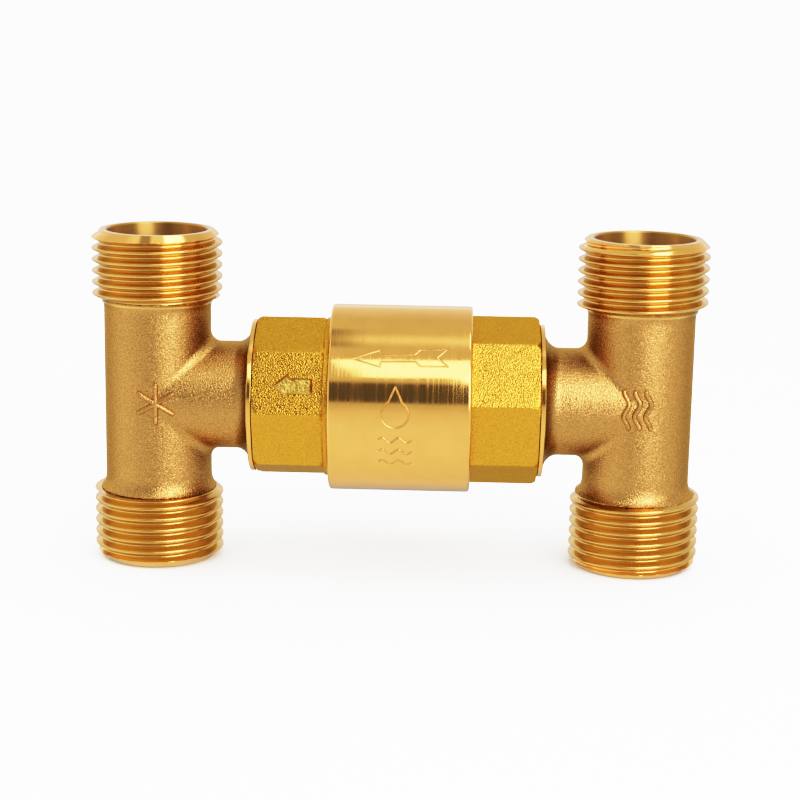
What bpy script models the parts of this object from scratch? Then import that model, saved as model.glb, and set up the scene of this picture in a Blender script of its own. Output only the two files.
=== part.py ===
"""Spring check valve joined between two threaded tees, for a hot and cold water crossover.

The frame is in metres. +X runs along the valve from the cold tee to the hot tee, +Z is up, and the
valve stands on the bottom rims of both tees with the origin under its middle. Water enters at the
hot tee and leaves at the cold tee, so the poppet opens towards -X.
"""

import math

import bmesh
import bpy
from mathutils import Matrix

MM = 0.001

# Overall layout
TEE_SPACING = 77.8 * MM
TEE_HEIGHT = 53.65 * MM
FLOW_HEIGHT = TEE_HEIGHT / 2
GAP = 0.3 * MM

# G 1/2 parallel pipe thread, 14 turns to the inch
THREAD_PITCH = 1.8143 * MM
THREAD_CREST_R = 10.4775 * MM
THREAD_ROOT_R = 9.316 * MM
THREAD_CREST_FLAT = 0.35 * MM
THREAD_SPARE_TURNS = 1

# Tee
RUN_R = 8.6 * MM
RIM_R = 9.15 * MM
RIM_CHAMFER = 1.35 * MM
TOP_THREAD_LENGTH = 10.85 * MM
TOP_FLARE_R = 9.5 * MM
BOTTOM_FLARE_R = 9.8 * MM
CORE_R = 9.0 * MM
RUN_BORE_R = 6.9 * MM
MOUTH_R = 8.0 * MM
MOUTH_DEPTH = 9.0 * MM
BRANCH_R = 8.7 * MM
BRANCH_BORE_R = 6.6 * MM
FLANGE_R = 12.3 * MM
FLANGE_THICKNESS = 0.95 * MM
FLANGE_FACE = 22.75 * MM
SPIGOT_R = 9.9 * MM
SPIGOT_UNDERCUT_R = 9.2 * MM
SPIGOT_LENGTH = 10.0 * MM

# Each tee: side of the valve, front height of its top and bottom thread crests below the top rim and
# above the bottom rim, and length of its bottom thread
TEES = {
    "cold_tee": (-1, 2.62 * MM, 9.87 * MM, 11.3 * MM),
    "hot_tee": (1, 3.09 * MM, 9.3 * MM, 11.9 * MM),
}

# Valve body and end cap
BARREL_R = 15.05 * MM
BARREL_ROUND = 0.5 * MM
BARREL_START = -10.7 * MM
BARREL_END = 11.9 * MM
BODY_FLATS = 25.1 * MM
BODY_FLAT_ANGLE = math.radians(30.0)
CAP_FLATS = 24.1 * MM
CAP_FLAT_ANGLE = math.radians(21.0)
CAP_OCTAGON_END = -11.6 * MM
CORNER_CHAMFER = 0.6 * MM
COLLAR_R = 12.5 * MM
CAP_SPIGOT_R = 11.7 * MM
CAP_SPIGOT_END = -3.0 * MM
SOCKET_R = SPIGOT_R + GAP
SOCKET_MOUTH_R = 11.1 * MM
SOCKET_MOUTH_DEPTH = 1.75 * MM
SOCKET_FLOOR = 12.4 * MM
CHAMBER_R = 11.6 * MM
PORT_R = 6.2 * MM
CAP_PORT_R = 7.5 * MM
SEAT_R = 7.2 * MM
SEAT_FACE = 8.9 * MM
SEAT_HEIGHT = 0.6 * MM

# Rubber rings
RING_WIRE_R = 0.65 * MM
TEE_RING_R = 10.15 * MM
TEE_RING_PLACE = 21.6 * MM
CAP_RING_WIRE_R = 0.55 * MM
CAP_RING_R = 11.1 * MM
CAP_RING_PLACE = -9.5 * MM
CAP_RING_GROOVE_R = 10.2 * MM
CAP_RING_GROOVE_HALF = 0.85 * MM

# Stem guide, its bush and the ring that holds it in the cap
GUIDE_POCKET_R = 10.1 * MM
GUIDE_POCKET_FLOOR = -7.6 * MM
GUIDE_RING_R = GUIDE_POCKET_R - GAP
GUIDE_RING_INNER_R = 8.4 * MM
GUIDE_BACK = GUIDE_POCKET_FLOOR + GAP
GUIDE_FRONT = -5.1 * MM
GUIDE_HUB_R = 3.1 * MM
GUIDE_HUB_BORE_R = 2.4 * MM
GUIDE_HUB_FRONT = -1.8 * MM
GUIDE_SPRING_SEAT_R = 5.3 * MM
GUIDE_SPRING_SEAT_THICKNESS = 0.9 * MM
GUIDE_RIBS = 3
GUIDE_RIB_WIDTH = 1.7 * MM
BUSH_R = GUIDE_HUB_BORE_R - GAP
BUSH_FLANGE_R = 2.9 * MM
BUSH_FLANGE_THICKNESS = 0.5 * MM
RETAINER_GROOVE_R = 10.7 * MM
RETAINER_GROOVE = (-4.8 * MM, -3.6 * MM)
RETAINER_R = RETAINER_GROOVE_R - GAP
RETAINER_INNER_R = 8.9 * MM
RETAINER_THICKNESS = 0.6 * MM
RETAINER_OPENING = 5.0 * MM

# Poppet
STROKE = 3.5 * MM
STEM_R = 1.5 * MM
STEM_BACK = -9.5 * MM
STEM_FRONT = 13.2 * MM
STEM_CLEARANCE = 0.1 * MM
SHOULDER_R = 2.7 * MM
PLATE_BACK = 5.0 * MM
PLATE_THICKNESS = 1.5 * MM
PLATE_R = 9.4 * MM
PLATE_RIM = 0.5 * MM
PLATE_RIM_HEIGHT = 1.1 * MM
SEAL_R = PLATE_R - PLATE_RIM - GAP
SEAL_FRONT = SEAT_FACE - GAP
SEAL_BACK = PLATE_BACK + PLATE_THICKNESS + GAP
WASHER_R = 5.0 * MM
WASHER_THICKNESS = 1.0 * MM
WASHER_BACK = SEAL_FRONT + GAP
NUT_FLATS = 5.5 * MM
NUT_BACK = WASHER_BACK + WASHER_THICKNESS + GAP
NUT_THICKNESS = 2.3 * MM

# Return spring
SPRING_WIRE_R = 0.28 * MM
SPRING_R = 4.5 * MM
SPRING_TURNS = 7
SPRING_CLOSED_TURNS = 0.75
SPRING_POINTS_PER_TURN = 12

# Facets round a turned shape
STEPS = 32
SMALL_STEPS = 20
RING_SIDES = 6
SHARP_ANGLE = math.radians(35)
OVERSHOOT = 1.0 * MM

COLOURS = {
    "cast_brass": ((0.62, 0.36, 0.11, 1), 0.42, 1.0),
    "turned_brass": ((0.83, 0.56, 0.2, 1), 0.22, 1.0),
    "rubber": ((0.02, 0.02, 0.022, 1), 0.7, 0.0),
    "steel": ((0.6, 0.6, 0.6, 1), 0.3, 1.0),
    "plastic": ((0.85, 0.84, 0.8, 1), 0.45, 0.0),
}


def clear_scene():
    for obj in list(bpy.data.objects):
        bpy.data.objects.remove(obj)


def new_collection(name):
    collection = bpy.data.collections.new(name)
    bpy.context.scene.collection.children.link(collection)
    return collection


def new_material(name, finish):
    colour, roughness, metallic = COLOURS[finish]
    material = bpy.data.materials.new(name)
    material.use_nodes = True
    shader = material.node_tree.nodes["Principled BSDF"]
    shader.inputs["Base Color"].default_value = colour
    shader.inputs["Roughness"].default_value = roughness
    shader.inputs["Metallic"].default_value = metallic
    return material


def new_object(name, mesh, collection):
    obj = bpy.data.objects.new(name, mesh)
    collection.objects.link(obj)
    return obj


def dress(obj, finish):
    """Gives a finished sub-part its own material and smooth shading between sharp edges."""
    obj.data.materials.append(new_material(obj.name, finish))
    obj.data.shade_smooth()
    obj.data.set_sharp_from_angle(angle=SHARP_ANGLE)
    return obj


def evaluated_mesh(obj):
    """The object's mesh with its modifiers applied."""
    graph = bpy.context.evaluated_depsgraph_get()
    graph.update()
    return bpy.data.meshes.new_from_object(obj.evaluated_get(graph))


def apply_modifiers(obj):
    mesh = evaluated_mesh(obj)
    obj.modifiers.clear()
    obj.data = mesh


def turned(name, profile, collection, closed=True, steps=STEPS):
    """A shape turned about local Z. The profile's (radius, height) points run down its outer side."""
    mesh = bpy.data.meshes.new(name)
    points = [(radius, 0, height) for radius, height in profile]
    edges = [(i, i + 1) for i in range(len(points) - 1)]
    if closed:
        edges.append((len(points) - 1, 0))
    mesh.from_pydata(points, edges, [])
    obj = new_object(name, mesh, collection)
    screw = obj.modifiers.new("turn", "SCREW")
    screw.axis = "Z"
    screw.steps = steps
    screw.render_steps = steps
    screw.use_merge_vertices = True
    screw.merge_threshold = 1e-6
    screw.use_normal_calculate = False
    return obj


def tube_profile(outer_r, inner_r, low, high):
    return [(outer_r, high), (outer_r, low), (inner_r, low), (inner_r, high)]


def prism(name, sides, across_flats, low, high, flat_angle, collection):
    """A regular prism along local Z with one flat facing flat_angle, measured from local X."""
    radius = across_flats / 2 / math.cos(math.pi / sides)
    mesh = bpy.data.meshes.new(name)
    shape = bmesh.new()
    bmesh.ops.create_cone(
        shape, cap_ends=True, segments=sides, radius1=radius, radius2=radius, depth=high - low
    )
    bmesh.ops.translate(shape, verts=shape.verts, vec=(0, 0, (low + high) / 2))
    shape.verts.ensure_lookup_table()
    first_corner = math.atan2(shape.verts[0].co.y, shape.verts[0].co.x)
    turn = Matrix.Rotation(flat_angle - first_corner - math.pi / sides, 3, "Z")
    bmesh.ops.rotate(shape, verts=shape.verts, matrix=turn)
    shape.to_mesh(mesh)
    shape.free()
    return new_object(name, mesh, collection)


def box(name, size, centre, collection):
    mesh = bpy.data.meshes.new(name)
    shape = bmesh.new()
    bmesh.ops.create_cube(shape, size=1)
    bmesh.ops.scale(shape, verts=shape.verts, vec=size)
    bmesh.ops.translate(shape, verts=shape.verts, vec=centre)
    shape.to_mesh(mesh)
    shape.free()
    return new_object(name, mesh, collection)


def combine(target, other, operation):
    """Adds a Boolean whose other shape is kept as a wire guide beside the parts."""
    modifier = target.modifiers.new(f"{operation.lower()} {other.name}", "BOOLEAN")
    modifier.operation = operation
    modifier.solver = "EXACT"
    modifier.object = other
    other.hide_render = True
    other.display_type = "WIRE"
    return target


def lay_along_x(obj, place=0.0, direction=1):
    """Turns a shape's local Z onto the valve's axis, at flow height."""
    obj.location = (place, 0, FLOW_HEIGHT)
    obj.rotation_euler = (0, direction * math.pi / 2, 0)


def facing_front(angle):
    """The local angle, on a shape laid along +X, of a flat that faces -Y and leans up by angle."""
    return math.atan2(-math.cos(angle), -math.sin(angle))


def thread(name, crest, low, high, collection):
    """A right-hand thread about local Z that runs past low and high, closed by a cone at each end.
    Its crest crosses the front, local -Y, at height crest."""
    turns_below = math.ceil((crest - low) / THREAD_PITCH) + THREAD_SPARE_TURNS
    turns_above = math.ceil((high - crest) / THREAD_PITCH) + THREAD_SPARE_TURNS
    flank = (THREAD_PITCH - THREAD_CREST_FLAT) / 2
    start = crest - turns_below * THREAD_PITCH - THREAD_CREST_FLAT / 2 - flank
    profile = [
        (THREAD_ROOT_R, start),
        (THREAD_CREST_R, start + flank),
        (THREAD_CREST_R, start + flank + THREAD_CREST_FLAT),
        (THREAD_ROOT_R, start + THREAD_PITCH),
    ]
    mesh = bpy.data.meshes.new(name)
    points = [(0, -radius, height) for radius, height in profile]
    mesh.from_pydata(points, [(0, 1), (1, 2), (2, 3)], [])
    obj = new_object(name, mesh, collection)
    screw = obj.modifiers.new("wind", "SCREW")
    screw.axis = "Z"
    screw.screw_offset = THREAD_PITCH
    screw.iterations = turns_below + turns_above
    screw.steps = STEPS
    screw.render_steps = STEPS
    apply_modifiers(obj)
    close_thread_ends(obj.data)
    return obj


def close_thread_ends(mesh):
    """Joins the turns of a wound thread and closes each end with a fan to a point on the axis."""
    shape = bmesh.new()
    shape.from_mesh(mesh)
    bmesh.ops.remove_doubles(shape, verts=shape.verts, dist=1e-6)
    middle = sum(vert.co.z for vert in shape.verts) / len(shape.verts)
    top = max(vert.co.z for vert in shape.verts)
    bottom = min(vert.co.z for vert in shape.verts)
    open_edges = [edge for edge in shape.edges if edge.is_boundary]
    upper_tip = shape.verts.new((0, 0, top + THREAD_PITCH))
    lower_tip = shape.verts.new((0, 0, bottom - THREAD_PITCH))
    for edge in open_edges:
        tip = upper_tip if edge.verts[0].co.z > middle else lower_tip
        shape.faces.new((edge.verts[0], edge.verts[1], tip))
    bmesh.ops.recalc_face_normals(shape, faces=shape.faces)
    shape.to_mesh(mesh)
    shape.free()


def threaded_end(name, crest, rim, inner_end, cutters):
    """A thread cut to its blank, whose chamfered rim is at one end of a tee."""
    outward = 1 if rim > inner_end else -1
    blank_profile = [
        (0, rim),
        (RIM_R, rim),
        (THREAD_CREST_R + GAP, rim - outward * (RIM_CHAMFER + GAP)),
        (THREAD_CREST_R + GAP, inner_end + outward * GAP),
        (CORE_R, inner_end - outward * 2 * GAP),
        (0, inner_end - outward * 2 * GAP),
    ]
    if outward < 0:
        blank_profile.reverse()
    blank = turned(f"{name}_blank", blank_profile, cutters, closed=False)
    obj = thread(name, crest, min(rim, inner_end), max(rim, inner_end), cutters)
    return combine(obj, blank, "INTERSECT")


def run_profile(bottom_length):
    """The plain middle of a tee, flared to each threaded end, with a core that fills the threads."""
    top = TEE_HEIGHT - TOP_THREAD_LENGTH
    return [
        (0, TEE_HEIGHT - RIM_CHAMFER),
        (CORE_R, TEE_HEIGHT - RIM_CHAMFER),
        (CORE_R, top + GAP),
        (TOP_FLARE_R, top + GAP),
        (TOP_FLARE_R, top - 0.2 * MM),
        (RUN_R + 0.3 * MM, top - 0.9 * MM),
        (RUN_R, top - 1.8 * MM),
        (RUN_R, bottom_length + 2.6 * MM),
        (RUN_R + 0.35 * MM, bottom_length + 1.4 * MM),
        (BOTTOM_FLARE_R, bottom_length + 0.4 * MM),
        (BOTTOM_FLARE_R, bottom_length),
        (CORE_R, bottom_length - GAP),
        (CORE_R, RIM_CHAMFER),
        (0, RIM_CHAMFER),
    ]


def run_bore_profile():
    depth = MOUTH_DEPTH
    taper = MOUTH_R - RUN_BORE_R
    return [
        (0, TEE_HEIGHT + OVERSHOOT),
        (MOUTH_R, TEE_HEIGHT + OVERSHOOT),
        (MOUTH_R, TEE_HEIGHT - depth),
        (RUN_BORE_R, TEE_HEIGHT - depth - taper),
        (RUN_BORE_R, depth + taper),
        (MOUTH_R, depth),
        (MOUTH_R, -OVERSHOOT),
        (0, -OVERSHOOT),
    ]


def branch_profile():
    """The side branch, from the run's axis out to the end of its spigot."""
    face = TEE_SPACING / 2 - FLANGE_FACE
    end = face + SPIGOT_LENGTH
    back = face - FLANGE_THICKNESS
    return [
        (0, end),
        (SPIGOT_R - 0.6 * MM, end),
        (SPIGOT_R, end - 0.6 * MM),
        (SPIGOT_R, face - GAP + 2.2 * MM),
        (SPIGOT_UNDERCUT_R, face - GAP + 1.7 * MM),
        (SPIGOT_UNDERCUT_R, face),
        (FLANGE_R, face),
        (FLANGE_R, back),
        (FLANGE_R - 0.35 * MM, back - 0.3 * MM),
        (FLANGE_R - 2.2 * MM, back - 1.1 * MM),
        (BRANCH_R + 0.35 * MM, back - 2.0 * MM),
        (BRANCH_R, back - 3.0 * MM),
        (BRANCH_R, 0),
        (0, 0),
    ]


def branch_bore_profile():
    end = TEE_SPACING / 2 - FLANGE_FACE + SPIGOT_LENGTH
    return [
        (0, end + OVERSHOOT),
        (BRANCH_BORE_R + 0.5 * MM + OVERSHOOT, end + OVERSHOOT),
        (BRANCH_BORE_R, end - 0.5 * MM),
        (BRANCH_BORE_R, 0),
        (0, 0),
    ]


def make_tee(name, parts, cutters):
    side, top_crest, bottom_crest, bottom_length = TEES[name]
    place = side * TEE_SPACING / 2
    tee = turned(name, run_profile(bottom_length), parts, closed=False)
    tee.location.x = place
    top = threaded_end(
        f"{name}_top_thread", TEE_HEIGHT - top_crest, TEE_HEIGHT, TEE_HEIGHT - TOP_THREAD_LENGTH, cutters
    )
    bottom = threaded_end(f"{name}_bottom_thread", bottom_crest, 0, bottom_length, cutters)
    for end in (top, bottom):
        end.location.x = place
        end.modifiers[0].object.location.x = place
    branch = turned(f"{name}_branch", branch_profile(), cutters, closed=False)
    bore = turned(f"{name}_bore", run_bore_profile(), cutters, closed=False)
    branch_bore = turned(f"{name}_branch_bore", branch_bore_profile(), cutters, closed=False)
    bore.location.x = place
    lay_along_x(branch, place, -side)
    lay_along_x(branch_bore, place, -side)
    for shape in (branch, top, bottom):
        combine(tee, shape, "UNION")
    for cutter in (bore, branch_bore):
        combine(tee, cutter, "DIFFERENCE")
    return dress(tee, "cast_brass")


def octagon(name, across_flats, low, high, angle, chamfered, cutters):
    """An octagonal wrench end with its corners turned off at one or both ends."""
    shape = prism(name, 8, across_flats, low, high, facing_front(angle), cutters)
    corner_r = across_flats / 2 / math.cos(math.pi / 8) + GAP
    rise = CORNER_CHAMFER + GAP
    low_r, high_r = (corner_r - rise if end in chamfered else corner_r for end in ("low", "high"))
    envelope = [
        (0, high),
        (high_r, high),
        (corner_r, high - rise * 0.7),
        (corner_r, low + rise * 0.7),
        (low_r, low),
        (0, low),
    ]
    lathe = turned(f"{name}_envelope", envelope, cutters, closed=False)
    lay_along_x(shape)
    lay_along_x(lathe)
    return combine(shape, lathe, "INTERSECT")


def make_valve_body(parts, cutters):
    """The barrel, with the inlet octagon at its hot end and the seat inside."""
    outer_end = FLANGE_FACE - GAP
    barrel_profile = [
        (0, BARREL_END),
        (BARREL_R - BARREL_ROUND, BARREL_END),
        (BARREL_R, BARREL_END - BARREL_ROUND),
        (BARREL_R, BARREL_START + BARREL_ROUND),
        (BARREL_R - BARREL_ROUND, BARREL_START),
        (0, BARREL_START),
    ]
    body = turned("valve_body", barrel_profile, parts, closed=False)
    lay_along_x(body)
    wrench_end = octagon(
        "body_octagon", BODY_FLATS, BARREL_END - OVERSHOOT, outer_end, BODY_FLAT_ANGLE, ("high",), cutters
    )
    cavity_profile = [
        (0, outer_end + OVERSHOOT),
        (SOCKET_MOUTH_R, outer_end + OVERSHOOT),
        (SOCKET_MOUTH_R, outer_end - SOCKET_MOUTH_DEPTH),
        (SOCKET_R, outer_end - SOCKET_MOUTH_DEPTH - 0.6 * MM),
        (SOCKET_R, SOCKET_FLOOR),
        (PORT_R, SOCKET_FLOOR),
        (PORT_R, SEAT_FACE),
        (SEAT_R, SEAT_FACE),
        (SEAT_R + 0.4 * MM, SEAT_FACE + SEAT_HEIGHT),
        (CHAMBER_R, SEAT_FACE + SEAT_HEIGHT),
        (CHAMBER_R, CAP_SPIGOT_END + GAP),
        (CAP_SPIGOT_R + GAP, CAP_SPIGOT_END + GAP),
        (CAP_SPIGOT_R + GAP, BARREL_START - OVERSHOOT),
        (0, BARREL_START - OVERSHOOT),
    ]
    cavity = turned("body_cavity", cavity_profile, cutters, closed=False)
    lay_along_x(cavity)
    combine(body, wrench_end, "UNION")
    combine(body, cavity, "DIFFERENCE")
    return dress(body, "turned_brass")


def make_end_cap(parts, cutters):
    """The outlet octagon, with the spigot that screws into the barrel and holds the stem guide."""
    outer_end = FLANGE_FACE - GAP
    groove = CAP_RING_GROOVE_HALF
    collar_front = BARREL_START - GAP
    spigot_profile = [
        (0, CAP_SPIGOT_END),
        (CAP_SPIGOT_R - 0.3 * MM, CAP_SPIGOT_END),
        (CAP_SPIGOT_R, CAP_SPIGOT_END - 0.3 * MM),
        (CAP_SPIGOT_R, CAP_RING_PLACE + groove),
        (CAP_RING_GROOVE_R, CAP_RING_PLACE + groove),
        (CAP_RING_GROOVE_R, CAP_RING_PLACE - groove),
        (CAP_SPIGOT_R, CAP_RING_PLACE - groove),
        (CAP_SPIGOT_R, collar_front),
        (COLLAR_R, collar_front),
        (COLLAR_R, CAP_OCTAGON_END - 0.2 * MM),
        (0, CAP_OCTAGON_END - 0.2 * MM),
    ]
    cap = turned("end_cap", spigot_profile, parts, closed=False)
    lay_along_x(cap)
    wrench_end = octagon(
        "cap_octagon", CAP_FLATS, -outer_end, CAP_OCTAGON_END, CAP_FLAT_ANGLE, ("low", "high"), cutters
    )
    groove_back, groove_front = RETAINER_GROOVE
    cavity_profile = [
        (0, CAP_SPIGOT_END + OVERSHOOT),
        (GUIDE_POCKET_R, CAP_SPIGOT_END + OVERSHOOT),
        (GUIDE_POCKET_R, groove_front),
        (RETAINER_GROOVE_R, groove_front),
        (RETAINER_GROOVE_R, groove_back),
        (GUIDE_POCKET_R, groove_back),
        (GUIDE_POCKET_R, GUIDE_POCKET_FLOOR),
        (CAP_PORT_R, GUIDE_POCKET_FLOOR),
        (CAP_PORT_R, -SOCKET_FLOOR),
        (SOCKET_R, -SOCKET_FLOOR),
        (SOCKET_R, -outer_end + SOCKET_MOUTH_DEPTH + 0.6 * MM),
        (SOCKET_MOUTH_R, -outer_end + SOCKET_MOUTH_DEPTH),
        (SOCKET_MOUTH_R, -outer_end - OVERSHOOT),
        (0, -outer_end - OVERSHOOT),
    ]
    cavity = turned("cap_cavity", cavity_profile, cutters, closed=False)
    lay_along_x(cavity)
    combine(cap, wrench_end, "UNION")
    combine(cap, cavity, "DIFFERENCE")
    return dress(cap, "turned_brass")


def make_rubber_ring(name, ring_r, wire_r, place, parts):
    profile = [
        (ring_r + wire_r * math.sin(angle), wire_r * math.cos(angle))
        for angle in (2 * math.pi * i / RING_SIDES for i in range(RING_SIDES))
    ]
    ring = turned(name, profile, parts)
    lay_along_x(ring, place)
    return dress(ring, "rubber")


def make_stem_guide(parts, cutters):
    """The spider that carries the stem: a hub with a spring seat, ribs and an outer ring."""
    hub_profile = [
        (GUIDE_HUB_R, GUIDE_HUB_FRONT),
        (GUIDE_HUB_R, GUIDE_FRONT),
        (GUIDE_SPRING_SEAT_R, GUIDE_FRONT),
        (GUIDE_SPRING_SEAT_R, GUIDE_FRONT - GUIDE_SPRING_SEAT_THICKNESS),
        (GUIDE_HUB_R, GUIDE_FRONT - GUIDE_SPRING_SEAT_THICKNESS),
        (GUIDE_HUB_R, GUIDE_BACK),
        (GUIDE_HUB_BORE_R, GUIDE_BACK),
        (GUIDE_HUB_BORE_R, GUIDE_HUB_FRONT),
    ]
    guide = turned("stem_guide", hub_profile, parts, steps=SMALL_STEPS)
    lay_along_x(guide)
    ring_profile = tube_profile(GUIDE_RING_R, GUIDE_RING_INNER_R, GUIDE_BACK, GUIDE_FRONT)
    ring = turned("guide_ring", ring_profile, cutters)
    lay_along_x(ring)
    combine(guide, ring, "UNION")
    reach = GUIDE_RING_INNER_R + 0.5 * MM - GUIDE_HUB_R + 0.3 * MM
    centre = GUIDE_HUB_R - 0.3 * MM + reach / 2
    depth = GUIDE_FRONT - GUIDE_BACK - 0.6 * MM
    for i in range(GUIDE_RIBS):
        middle = (GUIDE_FRONT + GUIDE_BACK) / 2
        rib = box(f"guide_rib_{i + 1}", (reach, GUIDE_RIB_WIDTH, depth), (centre, 0, middle), cutters)
        pivot = bpy.data.objects.new(f"guide_rib_pivot_{i + 1}", None)
        cutters.objects.link(pivot)
        lay_along_x(pivot)
        rib.parent = pivot
        rib.rotation_euler.z = 2 * math.pi * i / GUIDE_RIBS
        combine(guide, rib, "UNION")
    return dress(guide, "turned_brass")


def make_guide_bush(parts):
    bore_r = STEM_R + STEM_CLEARANCE
    flange_back = GUIDE_HUB_FRONT + GAP
    profile = [
        (BUSH_FLANGE_R, flange_back + BUSH_FLANGE_THICKNESS),
        (BUSH_FLANGE_R, flange_back),
        (BUSH_R, flange_back),
        (BUSH_R, GUIDE_BACK),
        (bore_r, GUIDE_BACK),
        (bore_r, flange_back + BUSH_FLANGE_THICKNESS),
    ]
    bush = turned("guide_bush", profile, parts, steps=SMALL_STEPS)
    lay_along_x(bush)
    return dress(bush, "plastic")


def make_retaining_ring(parts, cutters):
    middle = sum(RETAINER_GROOVE) / 2
    half = RETAINER_THICKNESS / 2
    profile = tube_profile(RETAINER_R, RETAINER_INNER_R, middle - half, middle + half)
    ring = turned("retaining_ring", profile, parts)
    lay_along_x(ring)
    opening = box(
        "retainer_opening",
        (2 * OVERSHOOT, RETAINER_OPENING, 2 * RETAINER_R),
        (middle, 0, FLOW_HEIGHT - RETAINER_R),
        cutters,
    )
    combine(ring, opening, "DIFFERENCE")
    return dress(ring, "steel")


def make_valve_stem(parts):
    """The stem, whose shoulder backs the plate and meets the guide bush when the valve is open."""
    stop = GUIDE_HUB_FRONT + GAP + BUSH_FLANGE_THICKNESS + STROKE + GAP
    chamfer = 0.3 * MM
    profile = [
        (0, STEM_FRONT),
        (STEM_R - chamfer, STEM_FRONT),
        (STEM_R, STEM_FRONT - chamfer),
        (STEM_R, PLATE_BACK - GAP),
        (SHOULDER_R, PLATE_BACK - GAP),
        (SHOULDER_R, stop),
        (STEM_R, stop),
        (STEM_R, STEM_BACK + chamfer),
        (STEM_R - chamfer, STEM_BACK),
        (0, STEM_BACK),
    ]
    stem = turned("valve_stem", profile, parts, closed=False, steps=SMALL_STEPS)
    lay_along_x(stem)
    return dress(stem, "turned_brass")


def make_backing_plate(parts):
    front = PLATE_BACK + PLATE_THICKNESS
    profile = [
        (PLATE_R, front + PLATE_RIM_HEIGHT),
        (PLATE_R, PLATE_BACK),
        (STEM_R + GAP, PLATE_BACK),
        (STEM_R + GAP, front),
        (PLATE_R - PLATE_RIM, front),
        (PLATE_R - PLATE_RIM, front + PLATE_RIM_HEIGHT),
    ]
    plate = turned("backing_plate", profile, parts)
    lay_along_x(plate)
    return dress(plate, "turned_brass")


def make_disc_seal(parts):
    edge = 0.3 * MM
    profile = [
        (SEAL_R - edge, SEAL_FRONT),
        (SEAL_R, SEAL_FRONT - edge),
        (SEAL_R, SEAL_BACK),
        (STEM_R + GAP, SEAL_BACK),
        (STEM_R + GAP, SEAL_FRONT),
    ]
    seal = turned("disc_seal", profile, parts)
    lay_along_x(seal)
    return dress(seal, "rubber")


def make_seal_washer(parts):
    profile = tube_profile(WASHER_R, STEM_R + GAP, WASHER_BACK, WASHER_BACK + WASHER_THICKNESS)
    washer = turned("seal_washer", profile, parts, steps=SMALL_STEPS)
    lay_along_x(washer)
    return dress(washer, "steel")


def make_stem_nut(parts, cutters):
    nut = prism("stem_nut", 6, NUT_FLATS, NUT_BACK, NUT_BACK + NUT_THICKNESS, 0, parts)
    lay_along_x(nut)
    hole_profile = [
        (0, NUT_BACK + NUT_THICKNESS + OVERSHOOT),
        (STEM_R + GAP, NUT_BACK + NUT_THICKNESS + OVERSHOOT),
        (STEM_R + GAP, NUT_BACK - OVERSHOOT),
        (0, NUT_BACK - OVERSHOOT),
    ]
    hole = turned("nut_hole", hole_profile, cutters, closed=False, steps=SMALL_STEPS)
    lay_along_x(hole)
    combine(nut, hole, "DIFFERENCE")
    return dress(nut, "turned_brass")


def spring_rise(turn):
    """How far along the spring a point lies after this many turns, as a share of its length."""
    closed_rise = 2 * SPRING_WIRE_R * 1.1 * SPRING_CLOSED_TURNS
    length = PLATE_BACK - GAP - (GUIDE_FRONT + GAP) - 2 * SPRING_WIRE_R
    open_turns = SPRING_TURNS - 2 * SPRING_CLOSED_TURNS
    open_pitch = (length - 2 * closed_rise) / open_turns
    if turn < SPRING_CLOSED_TURNS:
        return turn * closed_rise / SPRING_CLOSED_TURNS
    if turn > SPRING_TURNS - SPRING_CLOSED_TURNS:
        return length - (SPRING_TURNS - turn) * closed_rise / SPRING_CLOSED_TURNS
    return closed_rise + (turn - SPRING_CLOSED_TURNS) * open_pitch


def make_return_spring(parts, cutters):
    """The compression spring between the guide's seat and the backing plate, with closed ends."""
    count = SPRING_TURNS * SPRING_POINTS_PER_TURN + 1
    curve = bpy.data.curves.new("spring_wire", "CURVE")
    curve.dimensions = "3D"
    curve.bevel_depth = SPRING_WIRE_R
    curve.bevel_resolution = 2
    curve.use_fill_caps = True
    line = curve.splines.new("POLY")
    line.points.add(count - 1)
    start = GUIDE_FRONT + GAP + SPRING_WIRE_R
    for i, point in enumerate(line.points):
        turn = i / SPRING_POINTS_PER_TURN
        angle = 2 * math.pi * turn
        point.co = (SPRING_R * math.cos(angle), SPRING_R * math.sin(angle), start + spring_rise(turn), 1)
    wire = new_object("spring_wire", curve, cutters)
    mesh = evaluated_mesh(wire)
    bpy.data.objects.remove(wire)
    shape = bmesh.new()
    shape.from_mesh(mesh)
    bmesh.ops.remove_doubles(shape, verts=shape.verts, dist=1e-7)
    bmesh.ops.recalc_face_normals(shape, faces=shape.faces)
    shape.to_mesh(mesh)
    shape.free()
    mesh.materials.clear()
    spring = new_object("return_spring", mesh, parts)
    lay_along_x(spring)
    return dress(spring, "steel")


def main():
    clear_scene()
    parts = new_collection("check_valve")
    cutters = new_collection("cutters")
    for name in TEES:
        make_tee(name, parts, cutters)
    make_valve_body(parts, cutters)
    make_end_cap(parts, cutters)
    make_rubber_ring("cold_tee_o_ring", TEE_RING_R, RING_WIRE_R, -TEE_RING_PLACE, parts)
    make_rubber_ring("hot_tee_o_ring", TEE_RING_R, RING_WIRE_R, TEE_RING_PLACE, parts)
    make_rubber_ring("cap_o_ring", CAP_RING_R, CAP_RING_WIRE_R, CAP_RING_PLACE, parts)
    make_stem_guide(parts, cutters)
    make_guide_bush(parts)
    make_retaining_ring(parts, cutters)
    make_valve_stem(parts)
    make_backing_plate(parts)
    make_disc_seal(parts)
    make_seal_washer(parts)
    make_stem_nut(parts, cutters)
    make_return_spring(parts, cutters)


main()
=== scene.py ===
"""The looks of the brass check valve: fine meshes, brass finishes, pale floor, soft light, camera."""
import contextlib
import math

import bmesh
import bpy
import numpy as np
from mathutils import Matrix, Vector


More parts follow.
